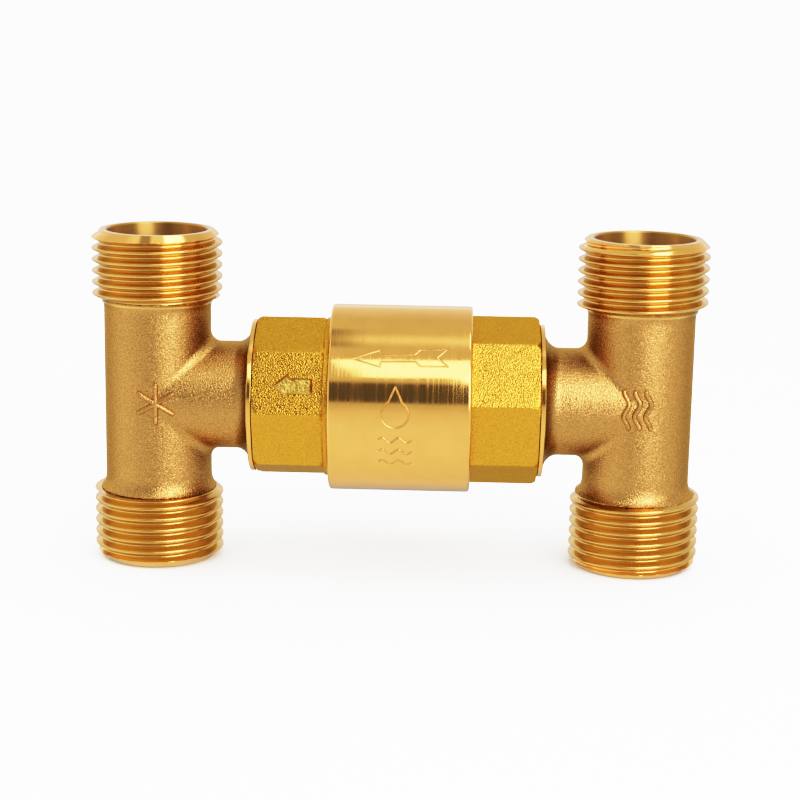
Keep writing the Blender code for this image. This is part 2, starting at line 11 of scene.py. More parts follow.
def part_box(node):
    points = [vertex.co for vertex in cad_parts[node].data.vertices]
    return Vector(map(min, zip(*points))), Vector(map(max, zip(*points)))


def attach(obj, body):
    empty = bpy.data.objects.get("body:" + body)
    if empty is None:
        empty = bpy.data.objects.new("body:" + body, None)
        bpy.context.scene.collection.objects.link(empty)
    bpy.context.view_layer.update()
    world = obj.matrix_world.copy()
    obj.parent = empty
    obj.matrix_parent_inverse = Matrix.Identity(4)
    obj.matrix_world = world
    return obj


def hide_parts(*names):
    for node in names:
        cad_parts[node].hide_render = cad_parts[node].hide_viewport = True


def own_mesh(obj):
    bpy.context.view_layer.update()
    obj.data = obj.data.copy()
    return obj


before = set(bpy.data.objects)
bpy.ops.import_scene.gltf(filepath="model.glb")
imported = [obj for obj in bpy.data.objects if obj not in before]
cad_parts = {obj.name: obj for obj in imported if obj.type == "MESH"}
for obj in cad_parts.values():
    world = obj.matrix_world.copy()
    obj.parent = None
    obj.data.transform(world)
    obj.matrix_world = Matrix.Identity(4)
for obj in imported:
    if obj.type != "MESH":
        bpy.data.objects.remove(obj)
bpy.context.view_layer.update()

MM = 0.001

# ---- sizes, from the frame
COLD_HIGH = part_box("cold_tee")[1]
HOT_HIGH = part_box("hot_tee")[1]
BODY_LOW, BODY_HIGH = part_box("valve_body")
CREST_R = 10.4775 * MM
ROOT_R = 9.316 * MM
PITCH = 1.8143 * MM
TEE_HEIGHT = COLD_HIGH.z
TEE_X = HOT_HIGH.x - CREST_R
FLOW_Z = TEE_HEIGHT / 2
BARREL_R = BODY_HIGH.y
BARREL_START = BODY_LOW.x
GAP = 0.3 * MM

# Tee, beyond what its box says
RUN_R = 8.6 * MM
RIM_R = 9.15 * MM
RIM_CHAMFER = 1.25 * MM
MOUTH_R = 8.0 * MM
MOUTH_DEPTH = 9.0 * MM
RUN_BORE_R = 6.9 * MM
TOP_THREAD_LENGTH = 10.85 * MM
TOP_FLARE_R = 9.5 * MM
TOP_FLARE_REACH = 1.9 * MM
BOTTOM_FLARE_R = 9.8 * MM
BOTTOM_FLARE_REACH = 2.6 * MM
CORE_R = 8.9 * MM
CORE_OVERLAP = 0.8 * MM
BRANCH_R = 8.7 * MM
BRANCH_FLARE_REACH = 2.5 * MM
BRANCH_BORE_R = 6.6 * MM
FLANGE_R = COLD_HIGH.y
FLANGE_LAND = 0.68 * MM
FLANGE_FACE = 22.75 * MM
FLANGE_BACK = TEE_X - FLANGE_FACE - FLANGE_LAND
SPIGOT_R = 9.9 * MM
SPIGOT_UNDERCUT_R = 9.2 * MM
SPIGOT_LENGTH = 10.0 * MM
FILLET_R = 1.8 * MM
# Side of the valve, heights of the top and bottom crests at the front, length of the bottom end
TEES = {
    "cold_tee": (-1, TEE_HEIGHT - 2.62 * MM, 9.87 * MM, 11.3 * MM),
    "hot_tee": (1, TEE_HEIGHT - 3.09 * MM, 9.3 * MM, 11.9 * MM),
}

# Fineness of the meshes
THREAD_COLUMNS = 120
THREAD_ROW = 0.06 * MM
CHAMFER_ROWS = 25
CAST_COLUMNS = 64
CAST_VOXEL = 0.34 * MM
SMOOTH_STEPS = 6
HELD_MARGIN = 0.12 * MM
NUDGE = 0.001 * MM
FINE_STEPS = 128
AXIS_R = 0.5 * MM
OVER = 1 * MM
PATH_STEP = 0.3 * MM


# ---- mesh tools
def new_object(name, data):
    obj = bpy.data.objects.new(name, data)
    bpy.context.scene.collection.objects.link(obj)
    return obj


@contextlib.contextmanager
def edited(mesh):
    """A mesh opened for editing, and written back afterwards."""
    shape = bmesh.new()
    shape.from_mesh(mesh)
    yield shape
    shape.to_mesh(mesh)
    shape.free()


def skin(rows, ring=False):
    """A solid over rows of points that each close on themselves, capped or joined into a ring."""
    count, columns = len(rows), len(rows[0])
    faces = []
    for i in range(count if ring else count - 1):
        here, below = i * columns, (i + 1) % count * columns
        for j in range(columns):
            k = (j + 1) % columns
            faces.append((here + j, below + j, below + k, here + k))
    if not ring:
        faces.append(tuple(range(columns)))
        faces.append(tuple(reversed(range((count - 1) * columns, count * columns))))
    mesh = bpy.data.meshes.new("shape")
    mesh.from_pydata(np.concatenate(rows).tolist(), [], faces)
    mesh.validate()
    with edited(mesh) as shape:
        bmesh.ops.recalc_face_normals(shape, faces=shape.faces)
    return new_object("shape", mesh)


def revolve(profile, columns=FINE_STEPS, radius_at=None, ring=False):
    """A solid turned about local Z from a profile of (radius, height), all off the axis.

    radius_at(angles, height, radius) may vary a row's radius round the axis.
    """
    angles = 2 * math.pi * np.arange(columns) / columns
    rows = []
    for radius, height in profile:
        r = np.full(columns, radius) if radius_at is None else radius_at(angles, height, radius)
        rows.append(np.stack([r * np.cos(angles), r * np.sin(angles), np.full(columns, height)], axis=1))
    return skin(rows, ring)


def turned(profile, columns=FINE_STEPS, radius_at=None):
    """A turned solid whose first and last rows are closed by flat ends."""
    first, last = (AXIS_R, profile[0][1]), (AXIS_R, profile[-1][1])
    return revolve([first, *profile, last], columns, radius_at)


def along_x(obj, place=0.0, direction=1):
    """Turns a mesh's local Z onto the valve's axis at flow height."""
    turn = Matrix.Rotation(direction * math.pi / 2, 4, "Y")
    obj.data.transform(Matrix.Translation((place, 0, FLOW_Z)) @ turn)
    return obj


def apply_modifier(obj, kind, **settings):
    modifier = obj.modifiers.new(kind, kind)
    for key, value in settings.items():
        setattr(modifier, key, value)
    graph = bpy.context.evaluated_depsgraph_get()
    graph.update()
    mesh = bpy.data.meshes.new_from_object(obj.evaluated_get(graph))
    obj.modifiers.clear()
    obj.data = mesh


def paint(obj, material):
    obj.data.materials.clear()
    obj.data.materials.append(material)
    return obj


def boolean(operation, target, other, look):
    """Joins or cuts target with other, and removes other. Each keeps its faces' materials."""
    if look:
        paint(other, look)
    apply_modifier(
        target, "BOOLEAN", operation=operation, solver="MANIFOLD", object=other, material_mode="TRANSFER"
    )
    if not target.data.polygons:
        raise RuntimeError(f"{operation} with {other.name} left nothing of {target.name}")
    mesh = other.data
    bpy.data.objects.remove(other)
    bpy.data.meshes.remove(mesh)
    return target


def join(target, other, look=None):
    return boolean("UNION", target, other, look)


def cut(target, other, look=None):
    return boolean("DIFFERENCE", target, other, look)


def arc(centre, radius, start, end, count):
    """Points (radius, height) on an arc, angles in degrees from the radial direction."""
    angles = np.radians(np.linspace(start, end, count + 1))
    return [(centre[0] + radius * math.cos(a), centre[1] + radius * math.sin(a)) for a in angles]


# ---- tee
def thread_radius(phase):
    """Radius of a G 1/2 thread by its share of a pitch from the crest: 55 degrees, round crest and root."""
    flank = math.radians(62.5)
    round_r = 0.1373 * PITCH
    share = np.abs((phase + 0.5) % 1.0 - 0.5) * PITCH
    to_root = PITCH / 2 - share
    arc_half = round_r * math.sin(flank)
    straight = CREST_R - round_r * (1 - math.cos(flank)) - (share - arc_half) * math.tan(flank)
    crest = CREST_R - round_r + np.sqrt(np.maximum(round_r**2 - share**2, 0))
    root = ROOT_R + round_r - np.sqrt(np.maximum(round_r**2 - to_root**2, 0))
    return np.where(share < arc_half, crest, np.where(to_root < arc_half, root, straight))


def threaded_end(crest, rim, inner_end):
    """A solid threaded end about local Z: flat rim, chamfer and helical thread, down to its core."""
    outward = 1 if rim > inner_end else -1
    chamfer_end = rim - outward * RIM_CHAMFER
    chamfer = np.linspace((RIM_R, rim), (CREST_R, chamfer_end), CHAMFER_ROWS)
    count = int(abs(chamfer_end - inner_end) / THREAD_ROW)
    heights = np.linspace(chamfer_end, inner_end, count + 1)
    profile = [*chamfer, *((CREST_R, height) for height in heights[1:])]
    profile += [(CORE_R, inner_end), (CORE_R, inner_end - outward * CORE_OVERLAP)]

    def radius_at(angles, height, radius):
        if radius <= RIM_R:
            return np.full(len(angles), radius)
        turns = (height - crest) / PITCH - (angles + math.pi / 2) / (2 * math.pi)
        return np.minimum(thread_radius(turns), radius)

    return turned(profile[::outward], THREAD_COLUMNS, radius_at)


def run_radius(z, bottom_length):
    """The cast run's radius by height, with a concave flare below each thread."""
    radius = RUN_R
    top = TEE_HEIGHT - TOP_THREAD_LENGTH
    for flare_r, reach, past in (
        (TOP_FLARE_R, TOP_FLARE_REACH, z - top),
        (BOTTOM_FLARE_R, BOTTOM_FLARE_REACH, bottom_length - z),
    ):
        t = np.clip(1 + past / reach, 0, 1)
        radius = radius + (flare_r - RUN_R) * (1 - np.sqrt(1 - t**2))
    return radius


def branch_radius(reach):
    """The cast branch's radius by distance from the run's axis: neck, then a hollow flare to the flange."""
    flare_rise = FLANGE_R - 0.15 * MM - BRANCH_R
    t = np.clip(1 + (reach - FLANGE_BACK) / BRANCH_FLARE_REACH, 0, 1)
    return BRANCH_R + flare_rise * (1 - np.sqrt(np.maximum(1 - t**2, 0.01)))


def cast_distance(points, side, bottom_length):
    """Distance-like field of a tee's cast body, zero on its surface, with a fillet in the crotch."""
    x, y, z = points.T
    x = TEE_X - side * x
    run_reach = np.maximum(np.hypot(x, y), 1e-6)
    branch_reach = np.maximum(np.hypot(y, z - FLOW_Z), 1e-6)
    run = run_reach - run_radius(z, bottom_length)
    branch = branch_reach - branch_radius(x)
    facing = (y * y) / (run_reach * branch_reach)
    radius = FILLET_R * np.clip(1 - facing, 0, 1) ** 1.2
    inner_run = np.maximum(radius - run, 0)
    inner_branch = np.maximum(radius - branch, 0)
    filleted = np.maximum(radius, np.minimum(run, branch)) - np.hypot(inner_run, inner_branch)
    return np.where(x < 0, run, filleted)


def cast_body(side, bottom_length):
    """The cast middle of a tee: a remeshed union of run and branch, drawn onto its exact surface."""
    top = TEE_HEIGHT - TOP_THREAD_LENGTH
    profile = [(AXIS_R, top + 0.3 * MM), (TOP_FLARE_R, top), (RUN_R, top - 1.5 * MM)]
    profile += [(RUN_R, bottom_length + 2.2 * MM), (BOTTOM_FLARE_R, bottom_length)]
    profile += [(AXIS_R, bottom_length - 0.3 * MM)]
    cast = revolve(profile, CAST_COLUMNS)
    cast.data.transform(Matrix.Translation((side * TEE_X, 0, 0)))
    profile = [(FLANGE_R - 0.4 * MM, FLANGE_BACK), (FLANGE_R - 2 * MM, FLANGE_BACK - 0.4 * MM)]
    profile += [(BRANCH_R + 0.5 * MM, FLANGE_BACK - 1.3 * MM), (BRANCH_R, FLANGE_BACK - 2.4 * MM)]
    profile += [(BRANCH_R, 0)]
    join(cast, along_x(turned(profile, CAST_COLUMNS), side * TEE_X, -side))
    apply_modifier(cast, "REMESH", mode="VOXEL", voxel_size=CAST_VOXEL)
    mesh = cast.data
    points = np.empty(len(mesh.vertices) * 3)
    mesh.vertices.foreach_get("co", points)
    points = points.reshape(-1, 3)
    edges = np.empty(len(mesh.edges) * 2, np.int64)
    mesh.edges.foreach_get("vertices", edges)
    edges = edges.reshape(-1, 2)
    start, end = np.concatenate([edges, edges[:, ::-1]]).T
    count = np.bincount(start, minlength=len(points))
    free = (points[:, 2] <= top - HELD_MARGIN) & (points[:, 2] >= bottom_length + HELD_MARGIN)
    free &= TEE_X - side * points[:, 0] <= FLANGE_BACK - HELD_MARGIN
    for step in range(SMOOTH_STEPS + 2):
        if step < SMOOTH_STEPS:
            total = np.stack([np.bincount(start, points[end, k], len(points)) for k in range(3)], axis=1)
            points[free] += 0.5 * (total / count[:, None] - points)[free]
        for _ in range(3):
            value = cast_distance(points, side, bottom_length)
            slopes = [
                cast_distance(points + nudge, side, bottom_length)
                - cast_distance(points - nudge, side, bottom_length)
                for nudge in NUDGE * np.eye(3)
            ]
            gradient = np.stack(slopes, axis=1) / (2 * NUDGE)
            square = np.maximum((gradient**2).sum(axis=1), 0.2)
            points[free] -= ((value / square)[:, None] * gradient)[free]
    mesh.vertices.foreach_set("co", points.ravel())
    mesh.update()
    return cast


# ---- swept strokes and grooves
def sweep(points, normals, half_width, half_height, sides=12):
    """A closed stroke with round ends: an elliptical section swept along a path on a surface."""
    points, normals = np.array(points, float), np.array(normals, float)
    steps = np.diff(points, axis=0)
    steps /= np.linalg.norm(steps, axis=1)[:, None]
    tangent = np.concatenate([steps, steps[-1:]]) + np.concatenate([steps[:1], steps])
    tangent /= np.linalg.norm(tangent, axis=1)[:, None]
    side = np.cross(normals, tangent)
    angles = 2 * math.pi * np.arange(sides) / sides
    across = half_width * np.cos(angles)[:, None]
    up = half_height * np.sin(angles)[:, None]
    ends = [math.radians(a) for a in (82, 60, 30)]
    stations = [(0, -a) for a in ends] + [(i, 0) for i in range(len(points))]
    stations += [(len(points) - 1, a) for a in reversed(ends)]
    rows = []
    for i, turn in stations:
        section = across * side[i] + up * normals[i]
        rows.append(points[i] + math.sin(turn) * half_width * tangent[i] + math.cos(turn) * section)
    return skin(rows)


def path_through(corners):
    """Points at most a step apart along a line through the corners."""
    path = [corners[0]]
    for start, end in zip(corners, corners[1:]):
        count = max(1, math.ceil(math.dist(start, end) / PATH_STEP))
        path += [*np.linspace(start, end, count + 1)[1:]]
    return path


def on_run(path, side, angle, height):
    """A path drawn on a tee's run: across and up in metres from a point of its front."""
    points, normals = [], []
    for across, up in path:
        turn = angle + across / RUN_R
        normals.append((math.sin(turn), -math.cos(turn), 0))
        x, z = RUN_R * math.sin(turn), height + up
        depth = RUN_R * math.cos(turn)
        if x * side < 0:
            depth = max(depth, math.sqrt(BRANCH_R**2 - (z - FLOW_Z) ** 2))
        points.append((side * TEE_X + x, -depth, z))
    return points, normals


def on_barrel(path):
    """A path drawn on the barrel: along X, and round from the front towards the top."""
    along, around = np.array(path).T
    turn = around / BARREL_R
    normals = np.stack([0 * turn, -np.cos(turn), np.sin(turn)], axis=1)
    points = BARREL_R * normals + (0, 0, FLOW_Z)
    points[:, 0] = along
    return points, normals


# ---- tee marks
STROKE_HALF_WIDTH = 0.42 * MM
STROKE_HEIGHT = 0.46 * MM
STAR_R = 3.1 * MM
WAVE_SWING = 0.42 * MM


def star_strokes():
    """A six-armed frost star: cold."""
    tips = arc((0, 0), STAR_R, 90, 390, 5)
    return list(zip(tips[3:], tips[:3]))


def wave(length, half_waves, steps):
    """A sine wave about its own middle, as points (along, across)."""
    places = [(k / steps - 0.5) * length for k in range(steps + 1)]
    return [(p, WAVE_SWING * math.sin(p / length * half_waves * math.pi)) for p in places]


def wave_strokes():
    """Three rising waves: hot."""
    rising = wave(5.8 * MM, 3, 24)
    return [[(i * 1.75 * MM + across, up) for up, across in rising] for i in (-1, 0, 1)]


# Strokes, turn round the run from the front, height of the middle
MARKS = {
    "cold_tee": (star_strokes(), math.radians(4.8), FLOW_Z),
    "hot_tee": (wave_strokes(), math.radians(-5.7), FLOW_Z + 0.6 * MM),
}


# ---- whole tee
def flange_and_spigot(side):
    """The turned end of the branch: flange land, undercut and plain spigot."""
    face = TEE_X - FLANGE_FACE
    end = face + SPIGOT_LENGTH
    back = FLANGE_BACK - 0.06 * MM
    edge = 0.09 * MM
    profile = [(SPIGOT_R - 0.6 * MM, end), (SPIGOT_R, end - 0.6 * MM), (SPIGOT_R, face + 1.9 * MM)]
    profile += [(SPIGOT_UNDERCUT_R, face + 1.4 * MM), (SPIGOT_UNDERCUT_R, face)]
    profile += arc((FLANGE_R - edge, face - edge), edge, 90, 0, 4)
    profile += [(FLANGE_R, back + 0.1 * MM), (FLANGE_R - 0.1 * MM, back), (FLANGE_R - 2.5 * MM, back)]
    return along_x(turned(profile, 192), side * TEE_X, -side)


def run_bore(side):
    """The tee's upright bore, wider at both mouths, with a small chamfer at each rim."""
    taper = MOUTH_R - RUN_BORE_R
    edge = 0.22 * MM
    wide = MOUTH_R + edge
    top = TEE_HEIGHT
    profile = [(wide, top + OVER), (wide, top), (MOUTH_R, top - edge), (MOUTH_R, top - MOUTH_DEPTH)]
    profile += [(RUN_BORE_R, top - MOUTH_DEPTH - taper), (RUN_BORE_R, MOUTH_DEPTH + taper)]
    profile += [(MOUTH_R, MOUTH_DEPTH), (MOUTH_R, edge), (wide, 0), (wide, -OVER)]
    bore = turned(profile)
    bore.data.transform(Matrix.Translation((side * TEE_X, 0, 0)))
    return bore


def branch_bore(side):
    end = TEE_X - FLANGE_FACE + SPIGOT_LENGTH
    radius = BRANCH_BORE_R
    chamfer = 0.5 * MM
    profile = [(radius + chamfer + OVER, end + OVER), (radius, end - chamfer), (radius, 0)]
    return along_x(turned(profile, 96), side * TEE_X, -side)


def sharpen_bores(mesh):
    """Keeps the edge crisp where a bore's finish meets another, however flat they meet."""
    bored = {i for i, material in enumerate(mesh.materials) if "bore" in material.name}
    finishes = {}
    for face in mesh.polygons:
        for key in face.edge_keys:
            finishes.setdefault(key, set()).add(face.material_index)
    for edge in mesh.edges:
        here = finishes.get(edge.key, set())
        if len(here) > 1 and bored & here:
            edge.use_edge_sharp = True


def hand_over(piece, node, slot, body="housing", sharp_degrees=24):
    """Shades a piece smooth between its sharp edges, and puts it in its CAD node's place."""
    piece.name = f"{node}_fine"
    mesh = piece.data
    with edited(mesh) as shape:
        bmesh.ops.remove_doubles(shape, verts=shape.verts, dist=0.002 * MM)
        bmesh.ops.dissolve_degenerate(shape, edges=shape.edges, dist=0.0005 * MM)
    mesh.shade_smooth()
    mesh.set_sharp_from_angle(angle=math.radians(sharp_degrees))
    sharpen_bores(mesh)
    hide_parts(node)
    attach(piece, body)


def make_tee(name, looks):
    side, top_crest, bottom_crest, bottom_length = TEES[name]
    tee = paint(cast_body(side, bottom_length), looks["cast"])
    strokes, angle, height = MARKS[name]
    for stroke in strokes:
        path = on_run(path_through(stroke), side, angle, height)
        join(tee, sweep(*path, STROKE_HALF_WIDTH, STROKE_HEIGHT), looks["cast"])
    ends = ((top_crest, TEE_HEIGHT, TEE_HEIGHT - TOP_THREAD_LENGTH), (bottom_crest, 0, bottom_length))
    for crest, rim, inner_end in ends:
        thread = paint(threaded_end(crest, rim, inner_end), looks["threaded"])
        thread.data.materials.append(looks["machined"])
        for face in thread.data.polygons:
            face.material_index = int(abs(face.center.z - rim) < RIM_CHAMFER)
        thread.data.transform(Matrix.Translation((side * TEE_X, 0, 0)))
        join(tee, thread)
    join(tee, flange_and_spigot(side), looks["flange"])
    cut(tee, run_bore(side), looks[f"{name}_bore"])
    cut(tee, branch_bore(side), looks["bored"])
    hand_over(tee, name, "cast_brass", sharp_degrees=32)


# ---- valve body and end cap
BARREL_END = 11.9 * MM
BARREL_ROUND = 0.5 * MM
BODY_FLATS = 25.1 * MM
BODY_FLAT_ANGLE = math.radians(30)
CAP_FLATS = 24.1 * MM
CAP_FLAT_ANGLE = math.radians(21)
CAP_OCTAGON_END = -11.35 * MM
CORNER_CHAMFER = 0.42 * MM
CORNER_ROUND = 0.45 * MM
COLLAR_R = 12.8 * MM
CAP_SPIGOT_R = 11.7 * MM
CAP_SPIGOT_END = -3.0 * MM
SOCKET_R = SPIGOT_R + GAP
SOCKET_MOUTH_R = 11.1 * MM
SOCKET_MOUTH_DEPTH = 1.75 * MM
SOCKET_FLOOR = 12.4 * MM
CHAMBER_R = 11.6 * MM
PORT_R = 6.2 * MM
CAP_PORT_R = 7.5 * MM
SEAT_R = 7.2 * MM
SEAT_FACE = 8.9 * MM
SEAT_HEIGHT = 0.6 * MM
CAP_RING_PLACE = -9.5 * MM
CAP_RING_GROOVE_R = 10.2 * MM
CAP_RING_GROOVE_HALF = 0.85 * MM
GUIDE_POCKET_R = 10.1 * MM
GUIDE_POCKET_FLOOR = -7.6 * MM
RETAINER_GROOVE_R = 10.7 * MM
RETAINER_GROOVE = (-4.8 * MM, -3.6 * MM)
SEAM = 0.14 * MM
OCTAGON_END = FLANGE_FACE - SEAM


def octagon_outline(across_flats, flat_angle):
    """Points (y, z) round an octagon with rounded corners, one flat facing front at an angle up."""
    reach = (across_flats / 2 - CORNER_ROUND) / math.cos(math.pi / 8)
    corners = []
    for i in range(8):
        start = math.degrees(flat_angle) + 45 * i
        middle = math.radians(start + 22.5)
        centre = (reach * math.cos(middle), reach * math.sin(middle))
        corners.append(arc(centre, CORNER_ROUND, start, start + 45, 6))
    outline = []
    for here, after in zip(corners, corners[1:] + corners[:1]):
        outline += [*here, *np.linspace(here[-1], after[0], 11)[1:-1]]
    return np.array(outline) * (-1, 1)


def paint_octagon(obj, flat_angle, smooth, grain_shade_look):
    """The front flat and the one opposite it are grainier than the others, and painted darker as painted
    shade.
    """
    paint(obj, smooth)
    obj.data.materials.append(grain_shade_look)
    front = Vector((0, -math.cos(flat_angle), math.sin(flat_angle)))
    for face in obj.data.polygons:
        # Painted shade: the front and back flats take the darker, grainier copy of the octagon brass.
        face.material_index = int(abs(face.normal.dot(front)) > 0.95)
    return obj


def octagon(across_flats, flat_angle, low, high, low_turned, high_turned):
    """An octagonal wrench end whose corners are turned off at its ends."""
    outline = octagon_outline(across_flats, flat_angle)
    reach = np.hypot(outline[:, 0], outline[:, 1])
    rounded = [(k * 0.13 * MM, (1 - k / 6) ** 1.5) for k in range(7)]
    depth = rounded[-1][0]
    stations = [(low + inward, low_turned * share) for inward, share in rounded]
    stations += [(x, 0) for x in np.linspace(low + depth, high - depth, 13)[1:-1]]
    stations += [(high - inward, high_turned * share) for inward, share in reversed(rounded)]
    rows = []
    for x, turned_off in stations:
        ring = outline * np.minimum(1, (reach.max() - turned_off) / reach)[:, None]
        rows.append(np.column_stack([np.full(len(ring), x), ring[:, 0], FLOW_Z + ring[:, 1]]))
    return skin(rows)


ARROW_TILT = 0.035
ARROW_HEIGHT = 9.5 * MM


def barrel_arrow():
    """Outline of the flow arrow, pointing from the hot tee to the cold one."""
    upper = [(-6.7, 0), (-2.55, 1.4), (-2.35, 0.53), (3.0, 0.62), (3.75, 1.38), (8.05, 1.5)]
    points = [*upper, (6.45, 0), *((x, -y) for x, y in reversed(upper[1:]))]
    corners = [(x * MM, ARROW_HEIGHT + (y + ARROW_TILT * x) * MM) for x, y in points]
    return corners + corners[:1]


def drop_outline():
    """Outline of a water drop with its tip up."""
    radius, centre, tip = 2.15 * MM, 0.6 * MM, 4.9 * MM
    lean = math.degrees(math.asin(radius / (tip - centre)))
    return [(0, tip), *arc((0, centre), radius, 90 - lean, lean - 270, 32), (0, tip)]


GROOVE_HALF_WIDTH = 0.16 * MM
GROOVE_DEPTH = 0.14 * MM


def engrave(body, looks):
    """Cuts the flow arrow, the drop and three lines of water into the barrel."""
    arrow, drop = barrel_arrow(), drop_outline()
    lines = [path_through(pair) for pair in zip(arrow, arrow[1:])]
    lines += [path_through(drop[:2]), drop[1:-1], path_through(drop[-2:])]
    water = wave(5.2 * MM, 4, 40)
    lines += [[(x, y + height * MM) for x, y in water] for height in (-3.6, -5.7, -7.8)]
    for line in lines:
        cut(body, sweep(*on_barrel(line), GROOVE_HALF_WIDTH, GROOVE_DEPTH, 10), looks["engraved"])


def make_valve_body(looks):
    edge = BARREL_ROUND
    profile = [(BARREL_R - edge, BARREL_END)]
    profile += arc((BARREL_R - edge, BARREL_END - edge), edge, 80, 10, 5)
    profile += [(BARREL_R, BARREL_END - edge), (BARREL_R, BARREL_START + edge)]
    profile += arc((BARREL_R - edge, BARREL_START + edge), edge, -10, -80, 5)
    profile += [(BARREL_R - edge, BARREL_START)]
    body = paint(along_x(turned(profile, 384)), looks["turned"])
    engrave(body, looks)
    inlet = octagon(BODY_FLATS, BODY_FLAT_ANGLE, BARREL_END - OVER, OCTAGON_END, 0, CORNER_CHAMFER)
    join(body, paint_octagon(inlet, BODY_FLAT_ANGLE, looks["octagon"], looks["body_front_grain_and_shade"]))
    mouth = OCTAGON_END - SOCKET_MOUTH_DEPTH
    seat_top = SEAT_FACE + SEAT_HEIGHT
    profile = [(SOCKET_MOUTH_R, OCTAGON_END + OVER), (SOCKET_MOUTH_R, mouth)]
    profile += [(SOCKET_R, mouth - 0.6 * MM), (SOCKET_R, SOCKET_FLOOR), (PORT_R, SOCKET_FLOOR)]
    profile += [(PORT_R, SEAT_FACE), (SEAT_R, SEAT_FACE), (SEAT_R + 0.4 * MM, seat_top)]
    profile += [(CHAMBER_R, seat_top), (CHAMBER_R, CAP_SPIGOT_END + GAP)]
    profile += [(CAP_SPIGOT_R + GAP, CAP_SPIGOT_END + GAP), (CAP_SPIGOT_R + GAP, BARREL_START - OVER)]
    cut(body, along_x(turned(profile)), looks["bored"])
    hand_over(body, "valve_body", "turned_brass")


def facet_arrow():
    """The raised flow arrow cast on the cap's front facet, with sloping sides."""
    half = [(-19.4, 0), (-16.8, 2.15), (-16.65, 1.3), (-13.1, 1.25)]
    outline = np.array(half + [(x, -y) for x, y in reversed(half[1:])]) * MM
    sides = np.roll(outline, -1, axis=0) - outline
    sides /= np.linalg.norm(sides, axis=1)[:, None]
    after = np.stack([sides[:, 1], -sides[:, 0]], axis=1)
    before = np.roll(after, 1, axis=0)
    inward = (after + before) / np.maximum(1 + (after * before).sum(axis=1), 0.35)[:, None]
    normal = np.array((0, -math.cos(CAP_FLAT_ANGLE), math.sin(CAP_FLAT_ANGLE)))
    up = np.array((0, math.sin(CAP_FLAT_ANGLE), math.cos(CAP_FLAT_ANGLE)))
    foot = normal * CAP_FLATS / 2 + (0, 0, FLOW_Z) - 0.4 * MM * up
    rows = []
    for level, inset in ((-0.6 * MM, 0), (0.12 * MM, 0), (0.5 * MM, 0.36 * MM)):
        x, y = (outline + inset * inward).T[:, :, None]
        rows.append(foot + normal * level + x * (1, 0, 0) + y * up)
    return skin(rows)


def make_end_cap(looks):
    ring_front, ring_back = CAP_RING_PLACE + CAP_RING_GROOVE_HALF, CAP_RING_PLACE - CAP_RING_GROOVE_HALF
    front = BARREL_START - SEAM
    edge = 0.3 * MM
    profile = [(CAP_SPIGOT_R - edge, CAP_SPIGOT_END), (CAP_SPIGOT_R, CAP_SPIGOT_END - edge)]
    profile += [(CAP_SPIGOT_R, ring_front), (CAP_RING_GROOVE_R, ring_front)]
    profile += [(CAP_RING_GROOVE_R, ring_back), (CAP_SPIGOT_R, ring_back), (CAP_SPIGOT_R, front + 0.1 * MM)]
    cap = paint(along_x(turned(profile, 192)), looks["turned"])
    back = CAP_OCTAGON_END - 0.2 * MM
    edge = 0.15 * MM
    profile = [(COLLAR_R, front), (COLLAR_R, back + edge), (COLLAR_R - edge, back)]
    join(cap, along_x(turned(profile, 192)), looks["octagon"])
    outlet = octagon(CAP_FLATS, CAP_FLAT_ANGLE, -OCTAGON_END, CAP_OCTAGON_END, CORNER_CHAMFER, 0.4 * MM)
    paint_octagon(outlet, CAP_FLAT_ANGLE, looks["octagon"], looks["cap_front_grain_and_shade"])
    join(cap, join(outlet, facet_arrow(), looks["worn"]))
    groove_back, groove_front = RETAINER_GROOVE
    mouth = -OCTAGON_END + SOCKET_MOUTH_DEPTH
    profile = [(GUIDE_POCKET_R, CAP_SPIGOT_END + OVER), (GUIDE_POCKET_R, groove_front)]
    profile += [(RETAINER_GROOVE_R, groove_front), (RETAINER_GROOVE_R, groove_back)]
    profile += [(GUIDE_POCKET_R, groove_back), (GUIDE_POCKET_R, GUIDE_POCKET_FLOOR)]
    profile += [(CAP_PORT_R, GUIDE_POCKET_FLOOR), (CAP_PORT_R, -SOCKET_FLOOR), (SOCKET_R, -SOCKET_FLOOR)]
    profile += [(SOCKET_R, mouth + 0.6 * MM), (SOCKET_MOUTH_R, mouth)]
    profile += [(SOCKET_MOUTH_R, -OCTAGON_END - OVER)]
    cut(cap, along_x(turned(profile)), looks["bored"])
    hand_over(cap, "end_cap", "turned_brass")


# ---- pieces inside
GUIDE_RING_R = GUIDE_POCKET_R - GAP
GUIDE_RING_INNER_R = 8.4 * MM
GUIDE_BACK = GUIDE_POCKET_FLOOR + GAP
GUIDE_FRONT = -5.1 * MM
GUIDE_HUB_R = 3.1 * MM
GUIDE_HUB_BORE_R = 2.4 * MM
GUIDE_HUB_FRONT = -1.8 * MM
SPRING_SEAT_R = 5.3 * MM
SPRING_SEAT_THICKNESS = 0.9 * MM
RIB_WIDTH = 1.7 * MM
BUSH_R = GUIDE_HUB_BORE_R - GAP
BUSH_FLANGE_R = 2.9 * MM
BUSH_FLANGE_THICKNESS = 0.5 * MM
RETAINER_R = RETAINER_GROOVE_R - GAP
RETAINER_INNER_R = 8.9 * MM
RETAINER_THICKNESS = 0.6 * MM
RETAINER_OPENING = 5.0 * MM
STROKE = 3.5 * MM
STEM_R = 1.5 * MM
STEM_BACK = -9.5 * MM
STEM_FRONT = 13.2 * MM
STEM_CLEARANCE = 0.1 * MM
SHOULDER_R = 2.7 * MM
HOLE_R = STEM_R + GAP
PLATE_BACK = 5.0 * MM
PLATE_FRONT = PLATE_BACK + 1.5 * MM
PLATE_R = 9.4 * MM
PLATE_RIM = 0.5 * MM
PLATE_RIM_HEIGHT = 1.1 * MM
SEAL_R = PLATE_R - PLATE_RIM - GAP
SEAL_FRONT = SEAT_FACE - GAP
WASHER_R = 5.0 * MM
WASHER_BACK = SEAL_FRONT + GAP
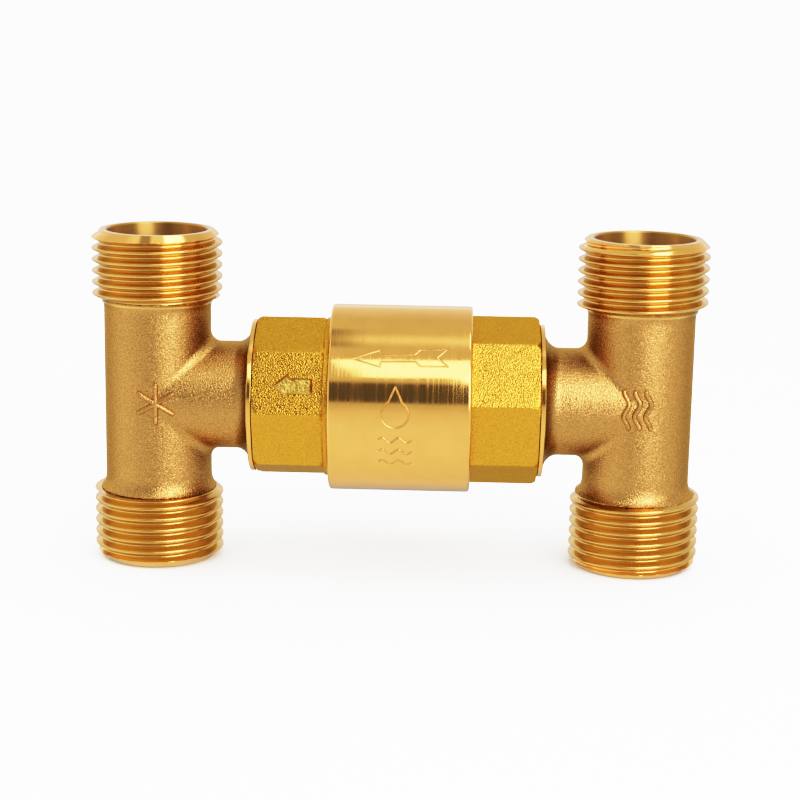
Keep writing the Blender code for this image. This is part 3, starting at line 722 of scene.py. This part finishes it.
WASHER_FRONT = WASHER_BACK + 1.0 * MM
NUT_FLATS = 5.5 * MM
NUT_BACK = WASHER_FRONT + GAP
NUT_FRONT = NUT_BACK + 2.3 * MM
SPRING_FOOT = GUIDE_FRONT + GAP
SPRING_LENGTH = PLATE_BACK - GAP - SPRING_FOOT
SPRING_WIRE_R = 0.28 * MM
SPRING_R = 4.5 * MM
SPRING_TURNS = 7
SPRING_CLOSED_TURNS = 0.75
TEE_RING = (10.15 * MM, 0.65 * MM)
TEE_RING_PLACE = 21.6 * MM
CAP_RING = (11.1 * MM, 0.55 * MM)


def eased(profile, edge=0.08 * MM):
    """A closed profile with each corner cut back a little along both its sides."""
    points = [Vector(point) for point in profile]
    corners = []
    for before, here, after in zip(points[-1:] + points, points, points[1:] + points[:1]):
        for other in (before, after):
            corners.append(here.lerp(other, min(edge / (other - here).length, 0.3)))
    return corners


def ring_solid(profile, columns=96):
    """A hollow solid turned about the flow axis, from a closed profile of (radius, place along X)."""
    return along_x(revolve(profile, columns, ring=True))


def tube(outer_r, inner_r, low, high):
    return [(outer_r, high), (outer_r, low), (inner_r, low), (inner_r, high)]


def block(low, high, edge):
    """A box between two corners, with its edges rounded over."""
    low, high = Vector(low), Vector(high)
    mesh = bpy.data.meshes.new("block")
    with edited(mesh) as shape:
        bmesh.ops.create_cube(shape, size=1)
        bmesh.ops.scale(shape, vec=high - low, verts=shape.verts)
        bmesh.ops.translate(shape, vec=(high + low) / 2, verts=shape.verts)
        if edge:
            edges = shape.edges[:]
            bmesh.ops.bevel(shape, geom=edges, offset=edge, segments=3, profile=0.5, affect="EDGES")
    return new_object("block", mesh)


def rubber_ring(ring_r, wire_r, place):
    return ring_solid(arc((ring_r, place), wire_r, 90, -252, 19), 128)


def stem_guide(looks):
    """The spider that carries the stem: a hub with a spring seat, three ribs and an outer ring."""
    seat_back = GUIDE_FRONT - SPRING_SEAT_THICKNESS
    hub = [(GUIDE_HUB_R, GUIDE_HUB_FRONT), (GUIDE_HUB_R, GUIDE_FRONT), (SPRING_SEAT_R, GUIDE_FRONT)]
    hub += [(SPRING_SEAT_R, seat_back), (GUIDE_HUB_R, seat_back), (GUIDE_HUB_R, GUIDE_BACK)]
    hub += [(GUIDE_HUB_BORE_R, GUIDE_BACK), (GUIDE_HUB_BORE_R, GUIDE_HUB_FRONT)]
    guide = paint(ring_solid(eased(hub)), looks["inner_brass"])
    ring = eased(tube(GUIDE_RING_R, GUIDE_RING_INNER_R, GUIDE_BACK, GUIDE_FRONT))
    join(guide, ring_solid(ring, 128), looks["inner_brass"])
    low = (GUIDE_HUB_R - 0.3 * MM, -RIB_WIDTH / 2, GUIDE_BACK + 0.3 * MM)
    high = (GUIDE_RING_INNER_R + 0.5 * MM, RIB_WIDTH / 2, GUIDE_FRONT - 0.3 * MM)
    for i in range(3):
        rib = block(low, high, 0.15 * MM)
        rib.data.transform(Matrix.Rotation(2 * math.pi * i / 3, 4, "Z"))
        join(guide, along_x(rib), looks["inner_brass"])
    return guide


def retaining_ring(looks):
    """The snap ring, open at its bottom."""
    middle, half = sum(RETAINER_GROOVE) / 2, RETAINER_THICKNESS / 2
    profile = eased(tube(RETAINER_R, RETAINER_INNER_R, middle - half, middle + half))
    ring = paint(ring_solid(profile, 128), looks["stainless"])
    low = (middle - OVER, -RETAINER_OPENING / 2, 0)
    high = (middle + OVER, RETAINER_OPENING / 2, FLOW_Z)
    return cut(ring, block(low, high, 0), looks["stainless"])


def valve_stem():
    stop = GUIDE_HUB_FRONT + GAP + BUSH_FLANGE_THICKNESS + STROKE + GAP
    plate = PLATE_BACK - GAP
    edge = 0.08 * MM
    chamfer = 0.3 * MM
    profile = [(STEM_R - chamfer, STEM_FRONT), (STEM_R, STEM_FRONT - chamfer), (STEM_R, plate)]
    profile += [(SHOULDER_R - edge, plate), (SHOULDER_R, plate - edge), (SHOULDER_R, stop + edge)]
    profile += [(SHOULDER_R - edge, stop), (STEM_R, stop)]
    profile += [(STEM_R, STEM_BACK + chamfer), (STEM_R - chamfer, STEM_BACK)]
    return along_x(turned(profile, 64))


def stem_nut(looks):
    """A hexagon nut with its corners turned off at both faces."""
    corner = NUT_FLATS / 2 / math.cos(math.pi / 6)
    turned_off = 0.22 * MM
    chamfer = 0.3 * MM

    def hexagon(angles, height, radius):
        share = (angles + math.pi / 6) % (math.pi / 3) - math.pi / 6
        return np.minimum(NUT_FLATS / 2 / np.cos(share), radius)

    upper = [(corner - turned_off * (1 - k / 4), NUT_FRONT - 0.07 * MM * k) for k in range(5)]
    lower = [(radius, NUT_BACK + NUT_FRONT - height) for radius, height in reversed(upper)]
    nut = paint(along_x(revolve(upper + lower, 96, hexagon)), looks["inner_brass"])
    hole = [(HOLE_R + chamfer + OVER, NUT_FRONT + OVER), (HOLE_R, NUT_FRONT - chamfer)]
    hole += [(HOLE_R, NUT_BACK - OVER)]
    return cut(nut, along_x(turned(hole, 64)), looks["inner_brass"])


def return_spring():
    """A wire spring whose turns lie closed at both ends."""
    closed, turns = SPRING_CLOSED_TURNS, SPRING_TURNS
    closed_rise = 2 * SPRING_WIRE_R * 1.1 * closed
    length = SPRING_LENGTH - 2 * SPRING_WIRE_R
    rises = (0, closed_rise, length - closed_rise, length)
    turn = np.arange(turns * 40 + 1) / 40
    angle = 2 * math.pi * turn
    normals = np.stack([0 * turn, np.sin(angle), -np.cos(angle)], axis=1)
    points = SPRING_R * normals + (SPRING_FOOT + SPRING_WIRE_R, 0, FLOW_Z)
    points[:, 0] += np.interp(turn, (0, closed, turns - closed, turns), rises)
    return sweep(points, normals, SPRING_WIRE_R, SPRING_WIRE_R)


def make_inner_pieces(looks):
    bush_back = GUIDE_HUB_FRONT + GAP
    bush_front = bush_back + BUSH_FLANGE_THICKNESS
    bush_bore_r = STEM_R + STEM_CLEARANCE
    bush = [(BUSH_FLANGE_R, bush_front), (BUSH_FLANGE_R, bush_back), (BUSH_R, bush_back)]
    bush += [(BUSH_R, GUIDE_BACK), (bush_bore_r, GUIDE_BACK), (bush_bore_r, bush_front)]
    rim_r, rim_front = PLATE_R - PLATE_RIM, PLATE_FRONT + PLATE_RIM_HEIGHT
    plate = [(PLATE_R, rim_front), (PLATE_R, PLATE_BACK), (HOLE_R, PLATE_BACK), (HOLE_R, PLATE_FRONT)]
    plate += [(rim_r, PLATE_FRONT), (rim_r, rim_front)]
    seal = eased(tube(SEAL_R, HOLE_R, PLATE_FRONT + GAP, SEAL_FRONT), 0.25 * MM)
    washer = eased(tube(WASHER_R, HOLE_R, WASHER_BACK, WASHER_FRONT))
    pieces = (
        ("cold_tee_o_ring", rubber_ring(*TEE_RING, -TEE_RING_PLACE), "black_rubber"),
        ("hot_tee_o_ring", rubber_ring(*TEE_RING, TEE_RING_PLACE), "black_rubber"),
        ("cap_o_ring", rubber_ring(*CAP_RING, CAP_RING_PLACE), "black_rubber"),
        ("stem_guide", stem_guide(looks), "inner_brass"),
        ("guide_bush", ring_solid(eased(bush), 64), "white_plastic"),
        ("retaining_ring", retaining_ring(looks), "stainless"),
        ("valve_stem", valve_stem(), "inner_brass"),
        ("backing_plate", ring_solid(eased(plate)), "inner_brass"),
        ("disc_seal", ring_solid(seal), "black_rubber"),
        ("seal_washer", ring_solid(washer, 64), "stainless"),
        ("stem_nut", stem_nut(looks), "inner_brass"),
        ("return_spring", spring := return_spring(), "stainless"),
    )
    moving = ("valve_stem", "backing_plate", "disc_seal", "seal_washer", "stem_nut")
    for node, piece, slot in pieces:
        body = "poppet" if node in moving else "housing"
        hand_over(paint(piece, looks[slot]), node, slot, body, 28)
    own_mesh(spring)


# ---- materials
class Nodes:
    """The node tree of a material or world, with helpers for the nodes in it."""

    def __init__(self, owner):
        owner.use_nodes = True
        self.tree = owner.node_tree

    def add(self, kind, **settings):
        made = self.tree.nodes.new(kind)
        for key, value in settings.items():
            setattr(made, key, value)
        return made

    def link(self, output, socket):
        self.tree.links.new(output, socket)

    def math(self, operation, *values, clamp=False):
        made = self.add("ShaderNodeMath", operation=operation, use_clamp=clamp)
        for socket, value in zip(made.inputs, values):
            if isinstance(value, (int, float)):
                socket.default_value = value
            else:
                self.link(value, socket)
        return made.outputs[0]

    def split(self, vector):
        made = self.add("ShaderNodeSeparateXYZ")
        self.link(vector, made.inputs[0])
        return made.outputs

    def ramp(self, value, stops):
        """Colours by value, through stops of (position, colour)."""
        ramp = self.add("ShaderNodeValToRGB")
        elements = ramp.color_ramp.elements
        while len(elements) < len(stops):
            elements.new(0.5)
        for element, (position, colour) in zip(elements, stops):
            element.position = position
            element.color = (*colour, 1)
        self.link(value, ramp.inputs["Fac"])
        return ramp.outputs["Color"]


class Look(Nodes):
    """A procedural material of one Principled shader, with helpers for what feeds it."""

    def __init__(self, name, metallic, roughness, **sockets):
        self.material = bpy.data.materials.new(name)
        super().__init__(self.material)
        self.shader = self.tree.nodes["Principled BSDF"]
        for socket, value in {"Metallic": metallic, "Roughness": roughness, **sockets}.items():
            self.shader.inputs[socket.replace("_", " ")].default_value = value
        self.place = self.add("ShaderNodeTexCoord").outputs["Object"]

    def noise(self, size, detail=2.0, stretch=(1, 1, 1)):
        """Noise whose features are about this size in metres, squeezed by stretch along each axis."""
        scale = self.add("ShaderNodeVectorMath", operation="MULTIPLY")
        self.link(self.place, scale.inputs[0])
        scale.inputs[1].default_value = [s / size for s in stretch]
        noise = self.add("ShaderNodeTexNoise")
        for socket, value in (("Scale", 1), ("Detail", detail), ("Roughness", 0.5)):
            noise.inputs[socket].default_value = value
        self.link(scale.outputs["Vector"], noise.inputs["Vector"])
        return noise.outputs["Fac"]

    def spread(self, value, low, high, start=0.3, end=0.7):
        """Turns start to end of a value into low to high."""
        spread = self.add("ShaderNodeMapRange")
        self.link(value, spread.inputs["Value"])
        for socket, number in zip(("From Min", "From Max", "To Min", "To Max"), (start, end, low, high)):
            spread.inputs[socket].default_value = number
        return spread.outputs["Result"]

    def colour(self, value, first, second):
        self.link(self.ramp(value, ((0.35, first), (0.65, second))), self.shader.inputs["Base Color"])

    def tint(self, value, colour):
        """Multiplies the base colour by this one, as far as value says."""
        mix = self.add("ShaderNodeMix", data_type="RGBA", blend_type="MULTIPLY")
        base = self.shader.inputs["Base Color"]
        self.link(value, mix.inputs[0])
        self.link(base.links[0].from_socket, mix.inputs[6])
        mix.inputs[7].default_value = (*colour, 1)
        self.link(mix.outputs[2], base)

    def rough(self, value, low, high):
        self.link(self.spread(value, low, high), self.shader.inputs["Roughness"])

    def raise_by(self, value, height):
        """Adds a bump of this height in metres."""
        bump = self.add("ShaderNodeBump")
        bump.inputs["Strength"].default_value = 1
        bump.inputs["Distance"].default_value = height
        self.link(value, bump.inputs["Height"])
        self.link(bump.outputs["Normal"], self.shader.inputs["Normal"])


ROUND_X = (1, 0.02, 0.02)
ROUND_Z = (0.02, 0.02, 1)
# Painted shade: tints that darken the cast colour by the flange and beside the branch.
FLANGE_PAINTED_SHADE = (0.66, 0.72, 0.78)
RECESS_PAINTED_SHADE = (0.90, 0.91, 0.92)


def grain_look(name, grain, colours, coarse, detail, rough, height):
    """Cast metal whose grain shows in colour and bump, with coarser changes of roughness."""
    look = Look(name, 1.0, sum(rough) / 2, Specular_Tint=(0.9, 0.75, 0.5, 1))
    noise = look.noise(grain, 0)
    look.colour(noise, *colours)
    look.rough(look.noise(coarse, detail), *rough)
    look.raise_by(noise, height)
    return look


def cast_look():
    """Blasted cast brass, with painted shade darkening and browning it in the hollows by the flange and
    beside the branch.
    """
    colours = ((0.40, 0.218, 0.072), (0.57, 0.315, 0.11))
    look = grain_look("cast_brass", 0.17 * MM, colours, 0.3 * MM, 0, (0.24, 0.32), 0.064 * MM)
    x, _, z = look.split(look.place)
    reach = look.math("ABSOLUTE", x)
    height = look.math("ABSOLUTE", look.math("SUBTRACT", z, FLOW_Z))
    flange_back = TEE_X - FLANGE_BACK
    flange_shade_mask = look.spread(reach, 1, 0, flange_back + 0.7 * MM, flange_back + 2.4 * MM)
    run_side = look.spread(reach, 1, 0, TEE_X - RUN_R + 1.2 * MM, TEE_X - RUN_R + 4.5 * MM)
    off_branch = look.spread(height, 0, 1, BRANCH_R - 1.5 * MM, BRANCH_R + 1 * MM)
    # Painted shade: darker and browner by the flange, slightly darker on the run beside the branch.
    look.tint(flange_shade_mask, FLANGE_PAINTED_SHADE)
    look.tint(look.math("MULTIPLY", run_side, off_branch), RECESS_PAINTED_SHADE)
    return look.material


def octagon_look(name, colours, rough, height):
    return grain_look(name, 0.19 * MM, colours, 0.5 * MM, 2, rough, height).material


def lathe_look(name, colours, low, high, stretch, line, height):
    """Turned metal: fine lines along one axis, in roughness and bump."""
    look = Look(name, 1.0, (low + high) / 2)
    look.colour(look.noise(3 * MM), *colours)
    look.rough(look.noise(line, 1, stretch), low, high)
    look.raise_by(look.noise(line * 0.8, 2, stretch), height)
    return look.material


def bore_look(name, colours, axis_x):
    """Bored metal whose lathe rings round a tee's upright axis draw reflections out along it."""
    look = Look(name, 1.0, 0.4, Anisotropic=0.9, Anisotropic_Rotation=0.25)
    look.colour(look.noise(2 * MM), *colours)
    vector = look.place
    for operation, other in (("SUBTRACT", (axis_x, 0, 0)), ("CROSS_PRODUCT", (0, 0, 1))):
        made = look.add("ShaderNodeVectorMath", operation=operation)
        look.link(vector, made.inputs[0])
        made.inputs[1].default_value = other
        vector = made.outputs["Vector"]
    look.link(vector, look.shader.inputs["Tangent"])
    look.raise_by(look.noise(0.2 * MM, 2, ROUND_Z), 0.003 * MM)
    return look.material


def plain_look(name, metallic, colours, low, high, grain, height):
    look = Look(name, metallic, (low + high) / 2)
    look.colour(look.noise(1.5 * MM, 3), *colours)
    look.rough(look.noise(grain), low, high)
    look.raise_by(look.noise(grain), height)
    return look.material


def make_looks():
    plain_flat = ((0.54, 0.285, 0.034), (0.685, 0.363, 0.048))
    # Darker copies of the octagon colours for the front and back flats: painted shade.
    body_front_shaded_colours = ((0.43, 0.228, 0.036), (0.60, 0.318, 0.056))
    cap_front_shaded_colours = ((0.32, 0.168, 0.025), (0.48, 0.25, 0.038))
    gold = ((0.79, 0.44, 0.125), (0.82, 0.46, 0.135))
    shaded = ((0.63, 0.385, 0.12), (0.66, 0.405, 0.13))
    dull = ((0.56, 0.325, 0.10), (0.60, 0.35, 0.11))
    engraved = ((0.64, 0.37, 0.13), (0.76, 0.45, 0.16))
    worn = ((0.42, 0.26, 0.06), (0.72, 0.47, 0.12))
    steel = ((0.62, 0.61, 0.59), (0.70, 0.69, 0.67))
    rubber = ((0.012, 0.012, 0.013), (0.022, 0.022, 0.023))
    plastic = ((0.78, 0.77, 0.74), (0.84, 0.83, 0.80))
    return {
        "cast": cast_look(),
        "octagon": octagon_look("cast_gold_brass", plain_flat, (0.26, 0.34), 0.07 * MM),
        # Front and back flats: a grainier bump, and darker colours as painted shade.
        "body_front_grain_and_shade": octagon_look("body_front_grainy_shaded_brass", body_front_shaded_colours, (0.17, 0.23), 0.1 * MM),
        "cap_front_grain_and_shade": octagon_look("cap_front_grainy_shaded_brass", cap_front_shaded_colours, (0.17, 0.23), 0.1 * MM),
        "machined": lathe_look("machined_brass", gold, 0.08, 0.15, ROUND_Z, 0.12 * MM, 0.0006 * MM),
        "flange": lathe_look("machined_flange_brass", gold, 0.09, 0.16, ROUND_X, 0.12 * MM, 0.0005 * MM),
        "turned": lathe_look("turned_brass", gold, 0.05, 0.18, ROUND_X, 0.2 * MM, 0.0012 * MM),
        "threaded": lathe_look("threaded_brass", shaded, 0.15, 0.24, ROUND_Z, 0.12 * MM, 0.0006 * MM),
        "bored": lathe_look("bored_brass", dull, 0.13, 0.22, ROUND_X, 0.2 * MM, 0.001 * MM),
        "inner_brass": lathe_look("inner_brass", gold, 0.14, 0.26, ROUND_X, 0.2 * MM, 0.001 * MM),
        "cold_tee_bore": bore_look("cold_bore_brass", dull, -TEE_X),
        "hot_tee_bore": bore_look("hot_bore_brass", dull, TEE_X),
        "engraved": plain_look("engraved_brass", 1.0, engraved, 0.25, 0.4, 0.12 * MM, 0.01 * MM),
        "worn": plain_look("worn_brass", 1.0, worn, 0.24, 0.36, 0.45 * MM, 0.07 * MM),
        "stainless": plain_look("stainless", 1.0, steel, 0.16, 0.3, 0.2 * MM, 0.001 * MM),
        "black_rubber": plain_look("black_rubber", 0.0, rubber, 0.5, 0.7, 0.15 * MM, 0.004 * MM),
        "white_plastic": plain_look("white_acetal", 0.0, plastic, 0.35, 0.5, 0.3 * MM, 0.003 * MM),
    }


# ---- studio
def softbox(name, width, height, radiance):
    """An area light of this size in metres, whose surface shows this radiance."""
    data = bpy.data.lights.new(name, "AREA")
    data.shape = "RECTANGLE"
    data.size = width
    data.size_y = height
    data.energy = radiance * width * height * math.pi
    light = new_object(name, data)
    light.visible_camera = False
    return light


def panel(name, lower_left, lower_right, upper_left, radiance):
    """A softbox set up by three of its corners, as seen from the object."""
    corner = Vector(lower_left)
    across = Vector(lower_right) - corner
    up = Vector(upper_left) - corner
    up -= across * (up.dot(across) / across.length_squared)
    light = softbox(name, across.length, up.length, radiance)
    x, y = across.normalized(), up.normalized()
    turn = Matrix((x, y, x.cross(y))).transposed().to_4x4()
    light.matrix_world = Matrix.Translation(corner + across / 2 + up / 2) @ turn


FLOOR_SIZE = 14.0
FRONT_SOFTBOX_PLACE = (0.085, -0.395, 0.4768)


def make_floor():
    half = FLOOR_SIZE / 2
    mesh = bpy.data.meshes.new("floor")
    corners = [(-half, -half, 0), (half, -half, 0), (half, half, 0), (-half, half, 0)]
    mesh.from_pydata(corners, [], [(0, 1, 2, 3)])
    floor = new_object("floor", mesh)
    floor.location.z = -0.2 * MM
    look = Look("pale_floor", 0.0, 0.6)
    look.colour(look.noise(50 * MM, 4), (0.80, 0.80, 0.80), (0.82, 0.82, 0.82))
    look.raise_by(look.noise(4 * MM), 0.02 * MM)
    paint(floor, look.material)
    floor.visible_glossy = False


# Brightness by degrees of climb, over the top from the camera's side
BACK_TONE = (
    (-180, 1.1), (-168, 1.0), (-160, 0.85), (-151, 0.55), (-137, 0.8),
    (-115, 1.15), (-60, 1.4), (-25, 1.38), (-8, 1.2), (2, 0.9),
    (60, 0.95), (78, 1.0), (87, 1.6), (97, 1.0), (125, 0.95),
    (145, 1.15), (158, 1.25), (165, 1.6), (170, 1.1), (180, 1.1),
)
LAMP_TONE = 4.5
WALL_TONE = 3.4


def make_world():
    """The studio round the object, as brightness by direction: pale walls, dark round the camera.

    Seen directly, behind the object, it is one plain pale wall.
    """
    world = bpy.data.worlds.new("studio")
    bpy.context.scene.world = world
    nodes = Nodes(world)
    calc = nodes.math
    x, y, z = nodes.split(nodes.add("ShaderNodeTexCoord").outputs["Generated"])
    forward = calc("MULTIPLY", y, -1)
    climb = calc("MULTIPLY", calc("ARCTAN2", z, forward), 180 / math.pi)
    azimuth = calc("MULTIPLY", calc("ARCTAN2", x, forward), 180 / math.pi)
    elevation = calc("MULTIPLY", calc("ARCSINE", z), 180 / math.pi)
    top = max(tone for _, tone in BACK_TONE)
    stops = [((angle + 180) / 360, [tone / top] * 3) for angle, tone in BACK_TONE]
    base = calc("MULTIPLY", nodes.ramp(calc("MULTIPLY_ADD", climb, 1 / 360, 0.5), stops), top)

    def window(value, low, high, soft):
        """One from low to high, falling to zero over this softness at each end."""
        rise = calc("MULTIPLY_ADD", value, 1 / soft, -low / soft + 0.5, clamp=True)
        fall = calc("MULTIPLY_ADD", value, -1 / soft, high / soft + 0.5, clamp=True)
        return calc("MULTIPLY", rise, fall)

    # A dark gap round the camera, a dark boom and a bright lamp overhead
    gap = calc("MULTIPLY", window(azimuth, -30, 13, 6), window(elevation, 5.5, 30, 4))
    boom = calc("MULTIPLY", window(x, -0.29, -0.1, 0.04), window(climb, 76, 104, 5))
    lamp = calc("MULTIPLY", window(x, 0.14, 0.41, 0.03), window(climb, 78, 101, 4))
    sides = calc("MULTIPLY_ADD", x, calc("MULTIPLY_ADD", x, 0.2, -0.1), 1)
    for dark, depth in ((gap, 0.8), (boom, 0.65)):
        base = calc("MULTIPLY", base, calc("MULTIPLY_ADD", dark, -depth, 1))
    studio = calc("MULTIPLY_ADD", lamp, LAMP_TONE, calc("MULTIPLY", base, sides))
    lit = nodes.add("ShaderNodeMix")
    nodes.link(nodes.add("ShaderNodeLightPath").outputs["Is Camera Ray"], lit.inputs["Factor"])
    nodes.link(studio, lit.inputs["A"])
    lit.inputs["B"].default_value = WALL_TONE
    background = nodes.tree.nodes["Background"]
    nodes.link(lit.outputs["Result"], background.inputs["Strength"])
    background.inputs["Color"].default_value = (1, 1, 1, 1)


def make_lights():
    front = softbox("front_top_softbox", 0.33, 0.235, 2.9)
    front.location = FRONT_SOFTBOX_PLACE
    to_object = Vector((0, 0, FLOW_Z)) - front.location
    front.rotation_euler = to_object.to_track_quat("-Z", "Y").to_euler()
    panel("right_softbox", (0.101, -0.365, 0.03), (0.233, -0.198, 0.03), (0.085, -0.26, 0.26), 6.0)
    fill = bpy.data.lights.new("floor_fill", "SUN")
    fill.angle = math.radians(120)
    fill.energy = 6.5
    new_object("floor_fill", fill).visible_glossy = False


# Shown tone by light
TONE = (
    (0.0, 0.0), (0.05, 0.024), (0.12, 0.066), (0.25, 0.185), (0.5, 0.43),
    (0.75, 0.64), (1.0, 0.79), (1.5, 0.91), (2.5, 0.97), (4.0, 0.99),
)


def set_tone():
    view = bpy.context.scene.view_settings
    view.view_transform = "Standard"
    view.look = "None"
    view.use_curve_mapping = True
    mapping = view.curve_mapping
    white = TONE[-1][0]
    mapping.white_level = (white, white, white)
    curve = mapping.curves[3]
    curve.points[0].location = (0, 0)
    curve.points[1].location = (1, TONE[-1][1])
    for light, shown in TONE[1:-1]:
        curve.points.new(light / white, shown)
    mapping.update()


CAMERA_PLACE = Vector((7.94, -322.5, 97.44)) * MM
CAMERA_YAW = 1.961
CAMERA_PITCH = -13.1
CAMERA_ROLL = -1.318
CAMERA_LENS = 91.6
CAMERA_SHIFT = (0.0165, 0.0318)


def make_camera():
    data = bpy.data.cameras.new("camera")
    data.sensor_width = 36
    data.lens = CAMERA_LENS
    data.shift_x, data.shift_y = CAMERA_SHIFT
    data.clip_start = 0.01
    data.clip_end = 50
    camera = new_object("camera", data)
    turn = Matrix.Translation(CAMERA_PLACE)
    for degrees, axis in ((CAMERA_ROLL, "Y"), (CAMERA_PITCH, "X"), (CAMERA_YAW, "Z"), (90, "X")):
        turn = turn @ Matrix.Rotation(math.radians(degrees), 4, axis)
    camera.matrix_world = turn
    bpy.context.scene.camera = camera


# ---- build
looks = make_looks()
for tee_name in TEES:
    make_tee(tee_name, looks)
make_valve_body(looks)
make_end_cap(looks)
make_inner_pieces(looks)
make_floor()
make_world()
make_lights()
set_tone()
make_camera()
